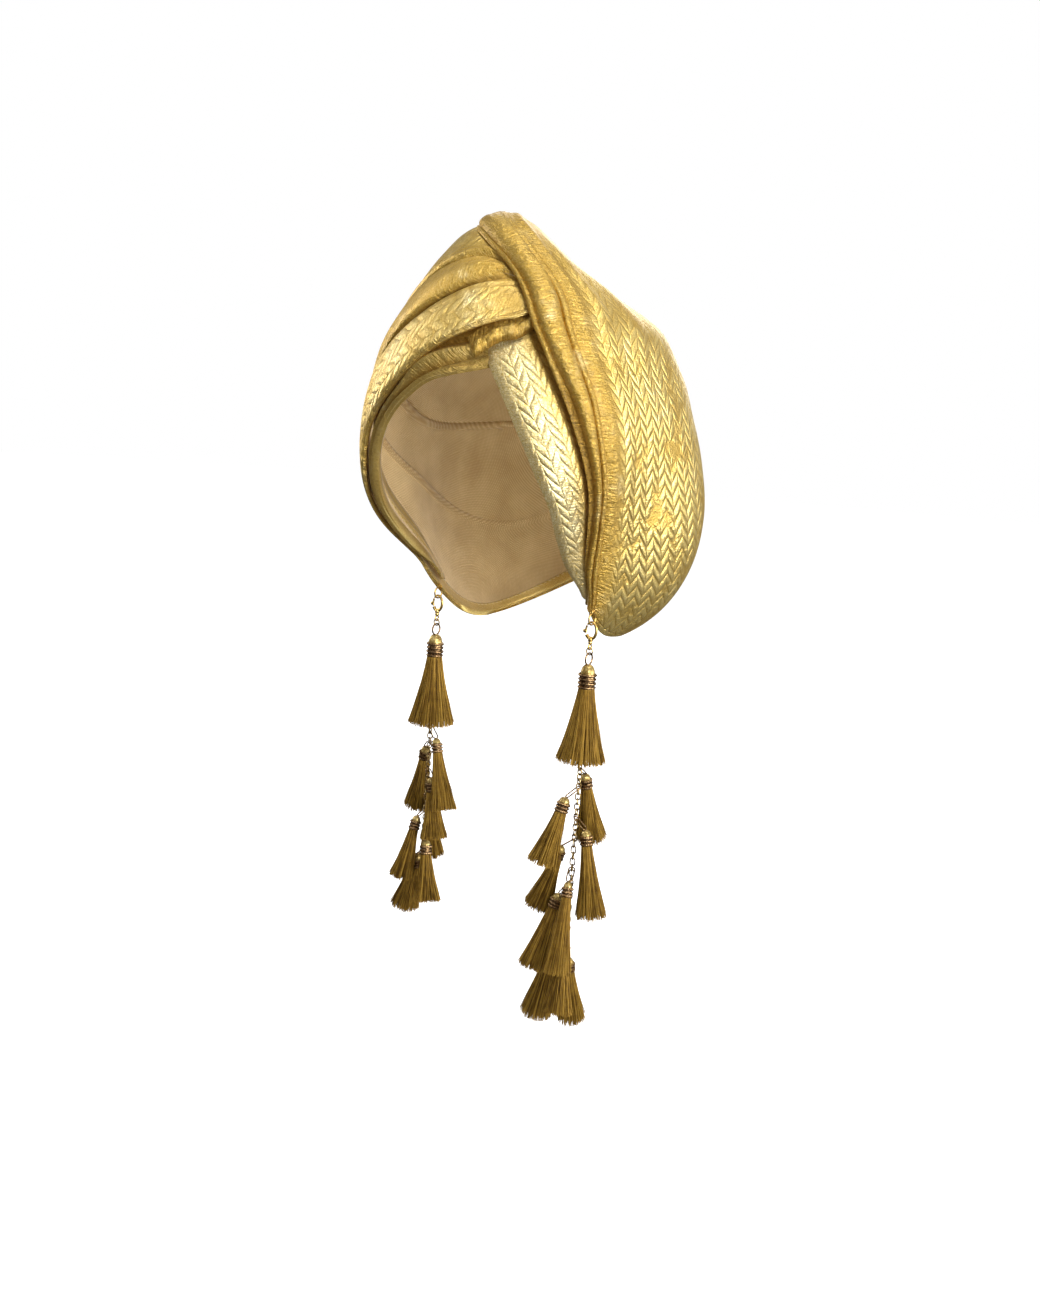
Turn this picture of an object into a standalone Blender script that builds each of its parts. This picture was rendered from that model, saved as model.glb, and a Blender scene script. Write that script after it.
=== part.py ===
"""A turban headband of padded gold cloth, open at the crown, with a clasped tassel drop at each side.

Metres, +Z up. The origin is the middle of the head that wears it: -Y is the front and +X is the
wearer's left. The cloth pieces are bands laid over one smooth form, which a table gives as radii
about the origin. A direction is an azimuth (0 front, 90 left side, 180 back) and an elevation.
"""

from collections import namedtuple
from math import atan2, cos, degrees, pi, radians, sin, sqrt

import bmesh
import bpy
import numpy as np
from mathutils import Matrix, Vector

MM = 0.001

# ---- cloth sizes, in millimetres ----
WALL = 2.4  # padded cloth
GAP = 0.3  # between pieces that touch
EDGE_LIFT = -4.0  # the swathes' turned front edges, below the form
BACK_SEAM = 179.7  # azimuth where the swathes meet, a hair to each side of 180
PANEL_EASE = 8.0  # the flat panel starts this far behind the second roll

# ---- sewn ring, clasp and chain, in millimetres ----
RING_PLACE = (58.6, -2.8, -91.0)  # centre of the left sewn ring
RING_RADIUS, RING_WIRE = 3.4, 0.5
HOOK_WIDE, HOOK_TALL, HOOK_WIRE = 3.6, 4.9, 0.75  # half axes of the claw's centreline, wire radius
MOUTH = (140.0, 215.0)  # the claw's opening, degrees round from +X, which the lever closes
BARREL_TOP, BARREL_LONG, BARREL_WIDE = 7.8, 3.9, 1.5
EYE_RADIUS, EYE_WIRE = 1.6, 0.45
LINK_RADIUS, LINK_WIRE = 2.1, 0.4
BAIL_RADIUS, BAIL_WIRE = 3.6, 0.45
CHAIN_RADIUS = 1.2

# The form: a row for each elevation, with its radius at azimuth 0, 45, 90, 135 and 180.
Form = namedtuple("Form", "elevation front temple side corner back")
FORM = [
    Form(-90, 105, 105, 105, 105, 105),
    Form(-60, 98, 100, 109, 126, 122),
    Form(-45, 99, 98, 98, 129, 126),
    Form(-30, 99, 97, 89, 126, 122),
    Form(-15, 99, 97, 85, 119, 118),
    Form(0, 99, 97, 85, 111, 113),
    Form(15, 101, 98, 87, 106, 109),
    Form(30, 106, 101, 91, 106, 106),
    Form(45, 114, 107, 98, 106, 104),
    Form(60, 126, 117, 103, 102, 103),
    Form(75, 138, 127, 109, 105, 104),
    Form(90, 120, 120, 120, 120, 120),
]

# The left swathe, a row for each line from its rolled front edge round to the back seam, hem first.
# roll_1 and roll_2 are the widths of the two rolls behind that edge, and rise lifts them.
SwatheRow = namedtuple("SwatheRow", "front_az front_el mid_az mid_el back_el length roll_1 roll_2 rise")
LEFT_SWATHE = [
    SwatheRow(85, -56, 125, -59, -36, 115, 4, 4, 0.0),
    SwatheRow(74, -44, 124, -41, -26, 165, 6, 6, 0.0),
    SwatheRow(67, -27, 120, -26, -16, 195, 8, 7, 0.0),
    SwatheRow(62, -11, 117, -10, -6, 210, 9, 7, 0.0),
    SwatheRow(55, 6, 115, 6, 4, 215, 11, 7, 0.0),
    SwatheRow(47, 24, 111, 22, 13, 210, 15, 6, 0.5),
    SwatheRow(39, 40, 106, 37, 22, 195, 18, 6, 1.5),
    SwatheRow(25, 57, 100, 51, 32, 175, 20, 6, 2.5),
    SwatheRow(-22, 73, 70, 70, 42, 150, 18, 6, 3.0),
]

# The right swathe, a row for each section from the knot round to the back seam. The creases are
# shares of the way from its low edge to its high edge, and lie between three overlapping pleats.
Section = namedtuple("Section", "low_az low_el high_az high_el crease_low crease_high depth lift")
RIGHT_SWATHE = [
    Section(44, 49, 32, 62, 0.48, 0.58, 0.0, -4.8),
    Section(30, 44.5, 18, 68, 0.45, 0.60, 1.0, -4.8),
    Section(14, 38, -2, 71, 0.38, 0.64, 4.0, -1.5),
    Section(-3, 29.5, -26, 70.5, 0.28, 0.62, 5.0, 0.0),
    Section(-18, 18, -50, 68.5, 0.25, 0.58, 5.0, 0.0),
    Section(-31, 4.5, -70, 66, 0.25, 0.55, 4.5, 0.0),
    Section(-39, -13, -88, 63, 0.27, 0.52, 4.0, 0.0),
    Section(-50, -30, -104, 60, 0.30, 0.52, 3.0, 0.0),
    Section(-66, -45, -120, 56, 0.32, 0.55, 2.5, 0.0),
    Section(-86, -56, -136, 52, 0.33, 0.60, 2.0, 0.0),
    Section(-125, -59, -156, 47, 0.33, 0.66, 1.0, 0.0),
    Section(-BACK_SEAM, -36, -BACK_SEAM, 42, 0.33, 0.66, 0.0, 0.0),
]

# The bands that frame the face, from the knot down to the corner: the edge at the face, the edge
# under the swathe, and how far below the form the band lies at its face edge, ridge and back edge.
Band = namedtuple("Band", "face_az face_el back_az back_el face_lift ridge_lift back_lift")
LEFT_FACE_BAND = [
    Band(19, 31.5, 44, 46, -10.6, -9.6, -9.6),
    Band(21, 28.5, 48, 37, -10.2, -8.8, -9.6),
    Band(27, 19, 54, 25, -10.0, -7.6, -9.6),
    Band(34, 6, 60, 11, -9.5, -6.8, -9.6),
    Band(40, -6, 66, -2, -9.5, -6.6, -9.6),
    Band(46, -17, 71, -16, -9.5, -6.8, -9.0),
    Band(53, -32, 75, -29, -9.5, -7.0, -8.0),
    Band(64, -46, 82, -43, -9.0, -6.6, -6.6),
    Band(82, -55.5, 92, -54, -7.0, -5.2, -5.2),
]
RIGHT_FACE_BAND = [
    Band(17.5, 31, 24, 47, -11.6, -11.4, -11.4),
    Band(5, 28, 2, 43, -11.0, -10.9, -10.9),
    Band(-5, 24.5, -14, 37, -9.6, -7.0, -6.4),
    Band(-14, 19, -27, 29, -9.2, -6.4, -5.9),
    Band(-22, 13, -37, 20, -9.2, -6.4, -5.9),
    Band(-28, 6, -44, 11, -9.2, -6.4, -5.9),
    Band(-33, -3, -50, 0, -9.2, -6.4, -5.9),
    Band(-37, -14, -55, -12, -9.2, -6.4, -5.9),
    Band(-43, -25, -61, -24, -9.2, -6.4, -5.9),
    Band(-52, -37, -70, -36, -9.0, -6.4, -5.9),
    Band(-65, -48, -82, -46, -8.0, -5.6, -5.0),
    Band(-82, -55.5, -94, -54, -6.0, -4.6, -4.5),
]

# The ruched tuck that crosses the front from under the left roll down to the knot.
Tuck = namedtuple("Tuck", "low_az low_el high_az high_el swell")
KNOT_TUCK = [
    Tuck(42, 45, 40, 51.5, 2.0),
    Tuck(36, 42.5, 34, 49, 2.8),
    Tuck(30, 38.5, 29, 47, 4.0),
    Tuck(24, 37, 22, 44.5, 4.2),
    Tuck(19, 34, 15, 41, 3.8),
    Tuck(15, 31, 10, 37.5, 2.0),
]
TUCK_LIFT = -8.4  # its edges, below the form

# The lower tassels: how far below the ring's wire each hangs on the chain, the azimuth it faces, how
# far out its bail reaches, its lean from upright in degrees, its skirt's length and its foot's radius.
Hung = namedtuple("Hung", "below turn reach lean skirt foot")
LEFT_DROP = [
    Hung(86, 174, 5.2, 15, 36, 8.5),
    Hung(98, -36, 7.5, 16, 34, 9.0),
    Hung(117, 92, 7.4, 9, 45, 8.2),
    Hung(130, -80, 7.8, 17, 35, 8.2),
    Hung(149, 22, 7.3, 18, 46, 7.3),
    Hung(159, -39, 7.0, 16, 40, 8.4),
    Hung(191, -84, 7.6, 11, 44, 9.0),
    Hung(186, 26, 7.4, 14, 35, 8.5),
    Hung(204, -172, 6.0, 14, 37, 8.1),
]
RIGHT_DROP = [
    Hung(84, 72, 7.7, 17, 38, 7.7),
    Hung(94, -122, 6.2, 15, 37, 8.6),
    Hung(113, 69, 5.0, 12, 31, 8.1),
    Hung(130, -163, 5.0, 14, 34, 7.4),
    Hung(140, -36, 5.3, 12, 34, 7.5),
    Hung(155, 54, 5.5, 16, 31, 8.6),
    Hung(168, -100, 5.6, 15, 32, 9.0),
]
TASSEL_LOCKS = 6
BAIL_TILT = radians(35)

# Colour, roughness and metallic value of each material.
GOLD_CLOTH = (0.78, 0.58, 0.22), 0.38, 0.85
BRIGHT_GOLD = (0.93, 0.70, 0.28), 0.18, 1.0
PALE_GOLD = (0.86, 0.70, 0.38), 0.28, 1.0
BRONZE_SILK = (0.42, 0.26, 0.07), 0.45, 0.1


# ---- helpers ----


def through(rows, column, u):
    """The column's value at share u of the way through the rows, on a smooth curve through them."""
    values = np.array([getattr(row, column) for row in rows], float)
    slopes = np.gradient(values)
    place = min(max(u, 0.0), 1.0) * (len(values) - 1)
    i = min(int(place), len(values) - 2)
    x = place - i
    return (
        (2 * x**3 - 3 * x**2 + 1) * values[i]
        + (x**3 - 2 * x**2 + x) * slopes[i]
        + (3 * x**2 - 2 * x**3) * values[i + 1]
        + (x**3 - x**2) * slopes[i + 1]
    )


def step(low, high, x):
    """0 below low, 1 above high, and smooth between."""
    x = min(max((x - low) / (high - low), 0.0), 1.0)
    return x * x * (3 - 2 * x)


def dome(x):
    """A half circle over 0 to 1, with height 1 at the middle."""
    return sqrt(max(0.0, 1 - (2 * x - 1) ** 2))


def heading(azimuth, elevation):
    """The unit vector that points to an azimuth and elevation, in degrees."""
    a, e = radians(azimuth), radians(elevation)
    return Vector((cos(e) * sin(a), -cos(e) * cos(a), sin(e)))


def form_radius(direction):
    """The form's radius that way, in millimetres: five cosines round it, through each row's radii."""
    azimuth = atan2(direction.x, -direction.y)
    elevation = degrees(atan2(direction.z, sqrt(direction.x**2 + direction.y**2)))
    elevations = [row.elevation for row in FORM]
    low = max(i for i in range(len(FORM) - 1) if elevations[i] <= elevation + 1e-9)
    share = (elevation - elevations[low]) / (elevations[low + 1] - elevations[low])
    ring = []
    for column in Form._fields[1:]:
        values = np.array([getattr(row, column) for row in FORM], float)
        slopes = np.gradient(values, elevations)
        span = elevations[low + 1] - elevations[low]
        x = share
        ring.append(
            (2 * x**3 - 3 * x**2 + 1) * values[low]
            + (x**3 - 2 * x**2 + x) * span * slopes[low]
            + (3 * x**2 - 2 * x**3) * values[low + 1]
            + (x**3 - x**2) * span * slopes[low + 1]
        )
    cosines = np.array([[cos(k * n * pi / 4) for k in range(5)] for n in range(5)])
    weights = np.linalg.solve(cosines, np.array(ring))
    return float(sum(w * cos(k * azimuth) for k, w in enumerate(weights)))


def on_form(direction, lift):
    """The point lift millimetres above the form, in metres."""
    return direction * (form_radius(direction) + lift) * MM


def between(low, high, share):
    """The direction a share of the way from one direction to another, on a great circle."""
    angle = low.angle(high)
    return (low * sin((1 - share) * angle) + high * sin(share * angle)) / sin(angle)


def material(name, look):
    colour, roughness, metallic = look
    made = bpy.data.materials.new(name)
    made.use_nodes = True
    shader = made.node_tree.nodes["Principled BSDF"]
    shader.inputs["Base Color"].default_value = (*colour, 1)
    shader.inputs["Roughness"].default_value = roughness
    shader.inputs["Metallic"].default_value = metallic
    return made


def put(obj, look=None):
    """Names the object's home: with a look it is a piece, and without one it is a hidden cutter."""
    for old in list(obj.users_collection):
        old.objects.unlink(obj)
    if look is None:
        CUTTERS.objects.link(obj)
        obj.hide_render = True
        obj.display_type = "WIRE"
    else:
        PIECES.objects.link(obj)
        obj.data.materials.clear()
        obj.data.materials.append(material(obj.name, look))
        obj.data.shade_smooth()
        obj.data.set_sharp_from_angle(angle=radians(50))
    return obj


def new_mesh(name, bm):
    bmesh.ops.recalc_face_normals(bm, faces=bm.faces)
    mesh = bpy.data.meshes.new(name)
    bm.to_mesh(mesh)
    bm.free()
    obj = bpy.data.objects.new(name, mesh)
    bpy.context.scene.collection.objects.link(obj)
    return obj


def cloth(name, place, columns, rows):
    """A padded sheet: a grid bent by place(across, along), each 0 to 1, thickened towards the head."""
    bm = bmesh.new()
    bmesh.ops.create_grid(bm, x_segments=columns, y_segments=rows, size=0.5)
    for vert in bm.verts:
        vert.co = place(vert.co.x + 0.5, vert.co.y + 0.5)
    bm.normal_update()
    if sum(face.normal.dot(face.calc_center_median()) for face in bm.faces) < 0:
        bmesh.ops.reverse_faces(bm, faces=bm.faces)
    mesh = bpy.data.meshes.new(name)
    bm.to_mesh(mesh)
    bm.free()
    obj = bpy.data.objects.new(name, mesh)
    bpy.context.scene.collection.objects.link(obj)
    wall = obj.modifiers.new("wall", "SOLIDIFY")
    wall.thickness = WALL * MM
    wall.offset = -1
    return put(obj, GOLD_CLOTH)


def lathe(name, around, profile):
    """A closed solid of rings: profile(k) for each k gives (height, [radius at each step round])."""
    rows = len(profile)
    bm = bmesh.new()
    bmesh.ops.create_grid(bm, x_segments=around, y_segments=rows - 1, size=0.5)
    for vert in bm.verts:
        step_round = round((vert.co.x + 0.5) * around)
        height, radii = profile[round((vert.co.y + 0.5) * (rows - 1))]
        angle = 2 * pi * step_round / around
        radius = radii[step_round % around]
        vert.co = Vector((radius * cos(angle), radius * sin(angle), height)) * MM
    bmesh.ops.remove_doubles(bm, verts=bm.verts, dist=1e-7)
    ends = bmesh.ops.holes_fill(bm, edges=[e for e in bm.edges if e.is_boundary], sides=0)["faces"]
    bmesh.ops.poke(bm, faces=ends)
    return new_mesh(name, bm)


def torus(name, radius, wire, around, sides, matrix):
    bpy.ops.mesh.primitive_torus_add(
        major_radius=radius * MM, minor_radius=wire * MM, major_segments=around, minor_segments=sides
    )
    obj = bpy.context.object
    obj.name = name
    obj.data.transform(matrix)
    return obj


def tube(name, points, radius, resolution=1):
    """A round bar through the points, as a mesh with its ends welded."""
    curve = bpy.data.curves.new(name, "CURVE")
    curve.dimensions = "3D"
    curve.bevel_depth = radius * MM
    curve.bevel_resolution = resolution
    curve.use_fill_caps = True
    spline = curve.splines.new("POLY")
    spline.points.add(len(points) - 1)
    for point, place in zip(spline.points, points):
        point.co = (*(Vector(place) * MM), 1)
    guide = bpy.data.objects.new(name + "_guide", curve)
    bpy.context.scene.collection.objects.link(guide)
    bpy.context.view_layer.update()
    mesh = bpy.data.meshes.new_from_object(guide.evaluated_get(bpy.context.evaluated_depsgraph_get()))
    bm = bmesh.new()
    bm.from_mesh(mesh)
    bmesh.ops.remove_doubles(bm, verts=bm.verts, dist=1e-6)
    bpy.data.objects.remove(guide)
    bpy.data.meshes.remove(mesh)
    return new_mesh(name, bm)


def join(obj, others):
    """Unions the others onto the object, and keeps them as hidden cutters."""
    for other in others:
        put(other)
        union = obj.modifiers.new(other.name, "BOOLEAN")
        union.operation = "UNION"
        union.solver = "EXACT"
        union.object = other
    return obj


# ---- cloth ----


def left_swathe_point(across, along):
    """across runs from the rolled front edge to the back seam, and along from the hem to the rim."""
    row = {column: through(LEFT_SWATHE, column, along) for column in SwatheRow._fields}
    roll_share, second_share = 0.24, 0.42
    rolls = row["roll_1"] + row["roll_2"]
    if across < roll_share:
        run = row["roll_1"] * across / roll_share
        lift = EDGE_LIFT + 0.5 + min(5.0, 0.5 * row["roll_1"]) * dome(across / roll_share)
        lift = max(lift, EDGE_LIFT) if across else EDGE_LIFT
    elif across < second_share:
        share = (across - roll_share) / (second_share - roll_share)
        run = row["roll_1"] + row["roll_2"] * share
        lift = -2.5 + min(3.3, 0.5 * row["roll_2"]) * dome(share) * (1 - 0.4 * share)
    else:
        share = (across - second_share) / (1 - second_share)
        run = rolls + (row["length"] - rolls) * share
        lift = -1.6 * (1 - step(0, PANEL_EASE, run - rolls))
    lift += row["rise"] * (1 - step(rolls, rolls + 30, run))
    lift -= 3.0 * step(0.93, 1.0, along)
    s = run / row["length"]
    azimuth = (
        row["front_az"] * (1 - s) * (1 - 2 * s)
        + row["mid_az"] * 4 * s * (1 - s)
        + BACK_SEAM * s * (2 * s - 1)
    )
    elevation = (
        row["front_el"] * (1 - s) * (1 - 2 * s)
        + row["mid_el"] * 4 * s * (1 - s)
        + row["back_el"] * s * (2 * s - 1)
    )
    return on_form(heading(azimuth, elevation), lift)


def right_swathe_point(across, along):
    """across runs from the low edge to the high edge, and along from the knot to the back seam."""
    row = {column: through(RIGHT_SWATHE, column, along) for column in Section._fields}
    low_share, high_share = 0.36, 0.64
    if across < low_share:
        x, start, end = across / low_share, 0.0, row["crease_low"]
    elif across < high_share:
        x, start, end = (across - low_share) / (high_share - low_share), row["crease_low"], row["crease_high"]
    else:
        x, start, end = (across - high_share) / (1 - high_share), row["crease_high"], 1.0
    pleat = -3 + 4.5 * sin(min(x / 0.5, 1) * pi / 2) - 4.5 * max(0, 2 * x - 1) ** 2
    share = start + (end - start) * x
    lift = row["lift"] + row["depth"] / 5 * pleat - 4.8 * step(0.68, 0.88, share)
    direction = between(
        heading(row["low_az"], row["low_el"]), heading(row["high_az"], row["high_el"]), share
    )
    return on_form(direction, lift)


def face_band_point(table):
    def place(across, along):
        row = {column: through(table, column, along) for column in Band._fields}
        ridge = 0.62
        if across < ridge:
            lift = row["face_lift"] + (row["ridge_lift"] - row["face_lift"]) * sin(across / ridge * pi / 2)
        else:
            fall = step(ridge, 0.8, across)
            lift = row["ridge_lift"] + (row["back_lift"] - row["ridge_lift"]) * fall
        direction = between(
            heading(row["face_az"], row["face_el"]), heading(row["back_az"], row["back_el"]), across
        )
        return on_form(direction, lift)

    return place


def knot_tuck_point(across, along):
    row = {column: through(KNOT_TUCK, column, along) for column in Tuck._fields}
    ruche = 0.35 * sin(along * 9 * pi)
    lift = TUCK_LIFT + (row["swell"] + ruche) * dome(min(across / 0.55, 1))
    direction = between(
        heading(row["low_az"], row["low_el"]), heading(row["high_az"], row["high_el"]), across
    )
    return on_form(direction, lift)


# ---- drops ----


def turned(radius, around):
    return [radius] * around


def tassel(name, matrix, head, wrap, skirt, foot, hollow):
    """A silk tassel hanging down -Z from its head: a dome, a wire-wrapped neck and a skirt of locks.

    head and wrap are (radius, height) in millimetres, and a hollow skirt is open up to its neck.
    """
    around = 2 * TASSEL_LOCKS

    def locks(radius, depth, height, uneven=0.0):
        """The skirt's locks: every second step round lies deeper. The foot is uneven."""
        return height, [radius * (1 - depth * (k % 2)) for k in range(around)]

    head_radius, head_tall = head
    wrap_radius, wrap_tall = wrap
    neck = -head_tall - wrap_tall
    profile = [
        (0.0, turned(head_radius * 0.35, around)),
        (-head_tall * 0.35, turned(head_radius * 0.85, around)),
        (-head_tall, turned(head_radius, around)),
        (-head_tall - 0.4, turned(wrap_radius, around)),
        (neck + 0.4, turned(wrap_radius, around)),
        (neck, turned(wrap_radius * 0.86, around)),
        locks(wrap_radius + (foot - wrap_radius) * 0.42, 0.10, neck - skirt * 0.35),
        locks(foot, 0.16, neck - skirt * 0.97),
        locks(foot * 0.82, 0.20, neck - skirt),
    ]
    if hollow:
        profile += [
            locks(foot * 0.62, 0.0, neck - skirt * 0.96),
            locks(wrap_radius * 0.55, 0.0, neck - 2.0),
        ]
    obj = lathe(name, around, profile)
    obj.data.transform(matrix)
    return obj


def hung_tassel(name, origin, row, number):
    """A tassel whose bail rings the chain, row.reach out from it, and which leans row.lean from upright."""
    outward = heading(row.turn, 0)
    tilt = BAIL_TILT
    bail = (row.reach + CHAIN_RADIUS + GAP + 0.35 * cos(tilt)) / (2 * cos(tilt))
    down = -(bail * sin(tilt))
    top = origin + (outward * row.reach + Vector((0, 0, -row.below + down * 2))) * MM
    lean = radians(row.lean)
    axis = Vector((0, 0, 1)) * cos(lean) - outward * sin(lean)
    side = outward.cross(axis).normalized()
    front = axis.cross(side).normalized()
    matrix = Matrix.Translation(top) @ Matrix((side, front, axis)).transposed().to_4x4()
    small = row.foot / 9.0
    obj = tassel(name, matrix, (3.3 * small, 3.6), (3.9 * small, 5.4), row.skirt, row.foot, False)
    centre = origin + (outward * (row.reach - bail * cos(tilt)) + Vector((0, 0, -row.below + down))) * MM
    ring_axis = Vector((0, 0, 1)) * cos(tilt) + outward * sin(tilt)
    ring_side = outward.cross(ring_axis).normalized()
    ring_front = ring_axis.cross(ring_side).normalized()
    turn = Matrix((ring_side, ring_front, ring_axis)).transposed().to_4x4()
    ring = torus(f"{name}_bail", bail, 0.35, 10, 4, Matrix.Translation(centre) @ turn)
    join(obj, [ring])
    return put(obj, BRONZE_SILK)


def claw_point(angle):
    """The claw's centreline, below the ring's wire, at an angle in degrees from +X."""
    centre = RING_WIRE + GAP + HOOK_WIRE - HOOK_TALL
    return Vector((HOOK_WIDE * cos(radians(angle)), 0, centre + HOOK_TALL * sin(radians(angle))))


def drop(side, sign, rows):
    """One side's sewn ring, clasp, lever, link, chain and tassels. sign mirrors places across X."""
    ring_centre = Vector((RING_PLACE[0] * sign, RING_PLACE[1], RING_PLACE[2])) * MM
    wire = ring_centre - Vector((0, 0, RING_RADIUS)) * MM  # the swing's axis runs along Y here
    facing_x = Matrix.Rotation(pi / 2, 4, "Y")
    facing_y = Matrix.Rotation(pi / 2, 4, "X")

    def at(height):
        return Matrix.Translation(wire + Vector((0, 0, height)) * MM)

    ring = torus(
        f"{side}_sewn_ring", RING_RADIUS, RING_WIRE, 12, 5, Matrix.Translation(ring_centre) @ facing_x
    )
    put(ring, BRIGHT_GOLD)

    # The claw runs from the mouth's top, over the ring and down to the barrel, which its eye hangs under.
    angles = np.linspace(MOUTH[0], MOUTH[1] - 360, 15)
    claw = tube(f"{side}_clasp", [claw_point(a) for a in angles], HOOK_WIRE)
    claw.data.transform(at(0))
    barrel = lathe(
        f"{side}_barrel",
        8,
        [
            (-BARREL_TOP + 0.6, turned(BARREL_WIDE * 0.8, 8)),
            (-BARREL_TOP - BARREL_LONG * 0.4, turned(BARREL_WIDE, 8)),
            (-BARREL_TOP - BARREL_LONG, turned(BARREL_WIDE * 0.5, 8)),
        ],
    )
    barrel.data.transform(at(0))
    eye_height = -BARREL_TOP - BARREL_LONG - EYE_RADIUS + 0.1
    eye = torus(f"{side}_eye", EYE_RADIUS, EYE_WIRE, 12, 5, at(eye_height) @ facing_x)
    put(join(claw, [barrel, eye]), BRIGHT_GOLD)

    # The lever fills the claw's mouth and turns inward about its low end.
    margin = degrees((GAP + HOOK_WIRE * 0.4) / HOOK_WIDE)
    pivot = claw_point(MOUTH[1] - margin - 4)
    lever_angles = np.linspace(MOUTH[0] + margin, MOUTH[1] - margin, 9)
    lever = tube(f"{side}_clasp_lever", [claw_point(a) for a in lever_angles], HOOK_WIRE * 0.8)
    nub = torus(
        f"{side}_nub",
        0.7,
        0.45,
        8,
        5,
        Matrix.Translation((claw_point(MOUTH[1] - 26) + Vector((-1.0, 0, 0))) * MM) @ facing_y,
    )
    nub.data.transform(at(0))
    lever.data.transform(at(0))
    join(lever, [nub])
    put(lever, BRIGHT_GOLD)
    pivot_world = wire + pivot * MM
    for piece, origin in ((claw, wire), (lever, pivot_world)):
        piece.data.transform(Matrix.Translation(-origin))
        piece.location = origin
    for cutter in (barrel, eye):
        cutter.parent = claw
        cutter.matrix_parent_inverse = Matrix.Translation(-wire)
    nub.parent = lever
    nub.matrix_parent_inverse = Matrix.Translation(-pivot_world)

    # A small link joins the eye to the top tassel's bail, each hung inside the last.
    link_top = eye_height - EYE_RADIUS + EYE_WIRE + LINK_WIRE + GAP
    link = torus(
        f"{side}_link", LINK_RADIUS, LINK_WIRE, 12, 5, at(link_top - LINK_RADIUS) @ facing_y
    )
    put(link, PALE_GOLD)
    bail_top = link_top - 2 * LINK_RADIUS + LINK_WIRE + BAIL_WIRE + GAP
    bail = torus(
        f"{side}_bail", BAIL_RADIUS, BAIL_WIRE, 12, 5, at(bail_top - BAIL_RADIUS) @ facing_x
    )
    head_top = bail_top - 2 * BAIL_RADIUS + 0.4
    top = tassel(f"{side}_tassel_01", at(head_top), (4.4, 5.6), (5.3, 8.6), 45.0, 14.0, True)
    put(join(top, [bail]), BRONZE_SILK)

    # The chain hangs inside the top tassel and ends at the lowest tassel's bail.
    chain_top = head_top - 5.6 - 8.6 - 2.0 - GAP
    chain_low = -max(row.below for row in rows) - 4.0
    heights = np.linspace(chain_top, chain_low, 4)
    chain = tube(f"{side}_chain", [(0, 0, h) for h in heights], CHAIN_RADIUS)
    chain.data.transform(at(0))
    put(chain, PALE_GOLD)
    for number, row in enumerate(rows, start=2):
        hung_tassel(f"{side}_tassel_{number:02d}", wire, row, number)


# ---- the whole headband ----

for old in list(bpy.data.objects):
    bpy.data.objects.remove(old)
PIECES = bpy.data.collections.new("turban_headband")
CUTTERS = bpy.data.collections.new("cutters")
for made in (PIECES, CUTTERS):
    bpy.context.scene.collection.children.link(made)

cloth("left_swathe", left_swathe_point, 22, 17)
cloth("right_swathe", right_swathe_point, 13, 22)
cloth("left_face_band", face_band_point(LEFT_FACE_BAND), 6, 14)
cloth("right_face_band", face_band_point(RIGHT_FACE_BAND), 6, 16)
cloth("knot_tuck", knot_tuck_point, 6, 8)
drop("left", 1, LEFT_DROP)
drop("right", -1, RIGHT_DROP)
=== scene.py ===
# %% [markdown]
# # A gold turban headband, piece by piece
#
# The real one is a padded band of foiled gold cloth, embossed with a herringbone. Two wide
# swathes wrap round the head and cross above the brow, a ruched tuck hides their crossing, and
# two face bands line the opening for the face. A clasp under each front corner carries a chain
# of silk tassels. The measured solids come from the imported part, and this script dresses them.

# %% Load the measured frame
from collections import namedtuple
from math import atan2, cos, degrees, pi, radians, sin, sqrt

import bmesh
import bpy
import numpy as np
from mathutils import Matrix, Vector


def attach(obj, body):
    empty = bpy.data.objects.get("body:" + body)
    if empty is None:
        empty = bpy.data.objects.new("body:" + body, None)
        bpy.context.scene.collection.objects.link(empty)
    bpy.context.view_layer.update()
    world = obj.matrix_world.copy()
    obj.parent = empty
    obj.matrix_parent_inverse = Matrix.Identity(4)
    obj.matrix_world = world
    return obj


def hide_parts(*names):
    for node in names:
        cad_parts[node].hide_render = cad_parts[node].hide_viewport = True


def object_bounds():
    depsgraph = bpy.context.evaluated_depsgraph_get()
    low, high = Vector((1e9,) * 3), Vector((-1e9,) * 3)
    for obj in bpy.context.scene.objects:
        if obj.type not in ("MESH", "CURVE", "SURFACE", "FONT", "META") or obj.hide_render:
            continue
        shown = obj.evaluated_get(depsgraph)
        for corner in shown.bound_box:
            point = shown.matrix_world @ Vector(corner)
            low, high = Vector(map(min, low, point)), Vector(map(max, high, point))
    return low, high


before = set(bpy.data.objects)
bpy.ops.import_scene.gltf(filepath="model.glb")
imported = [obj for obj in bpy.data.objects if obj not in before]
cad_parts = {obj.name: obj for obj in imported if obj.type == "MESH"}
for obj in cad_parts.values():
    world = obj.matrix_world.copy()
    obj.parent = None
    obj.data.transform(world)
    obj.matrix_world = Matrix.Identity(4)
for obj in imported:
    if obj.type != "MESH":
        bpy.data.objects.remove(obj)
CAD_BOX = [list(corner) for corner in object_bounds()]
MM = 0.001


def shown(name, data):
    """A new object with this data, linked to the scene."""
    obj = bpy.data.objects.new(name, data)
    bpy.context.scene.collection.objects.link(obj)
    return obj


# %% [markdown]
# ## Camera
#
# The photograph was taken from the wearer's left front, a little above, with the camera rolled by
# a few degrees. The lens follows from the scale at the head: 0.6 mm to a pixel at 0.74 m.

# %% Place the camera
IMAGE = (1040, 1300)
AROUND, DISTANCE, RISE, PITCH, ROLL = radians(36), 0.75, 0.015, radians(10), radians(4)
HEAD_PIXEL, MM_PER_PIXEL, SENSOR = (525, 455), 0.6, 36

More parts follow.
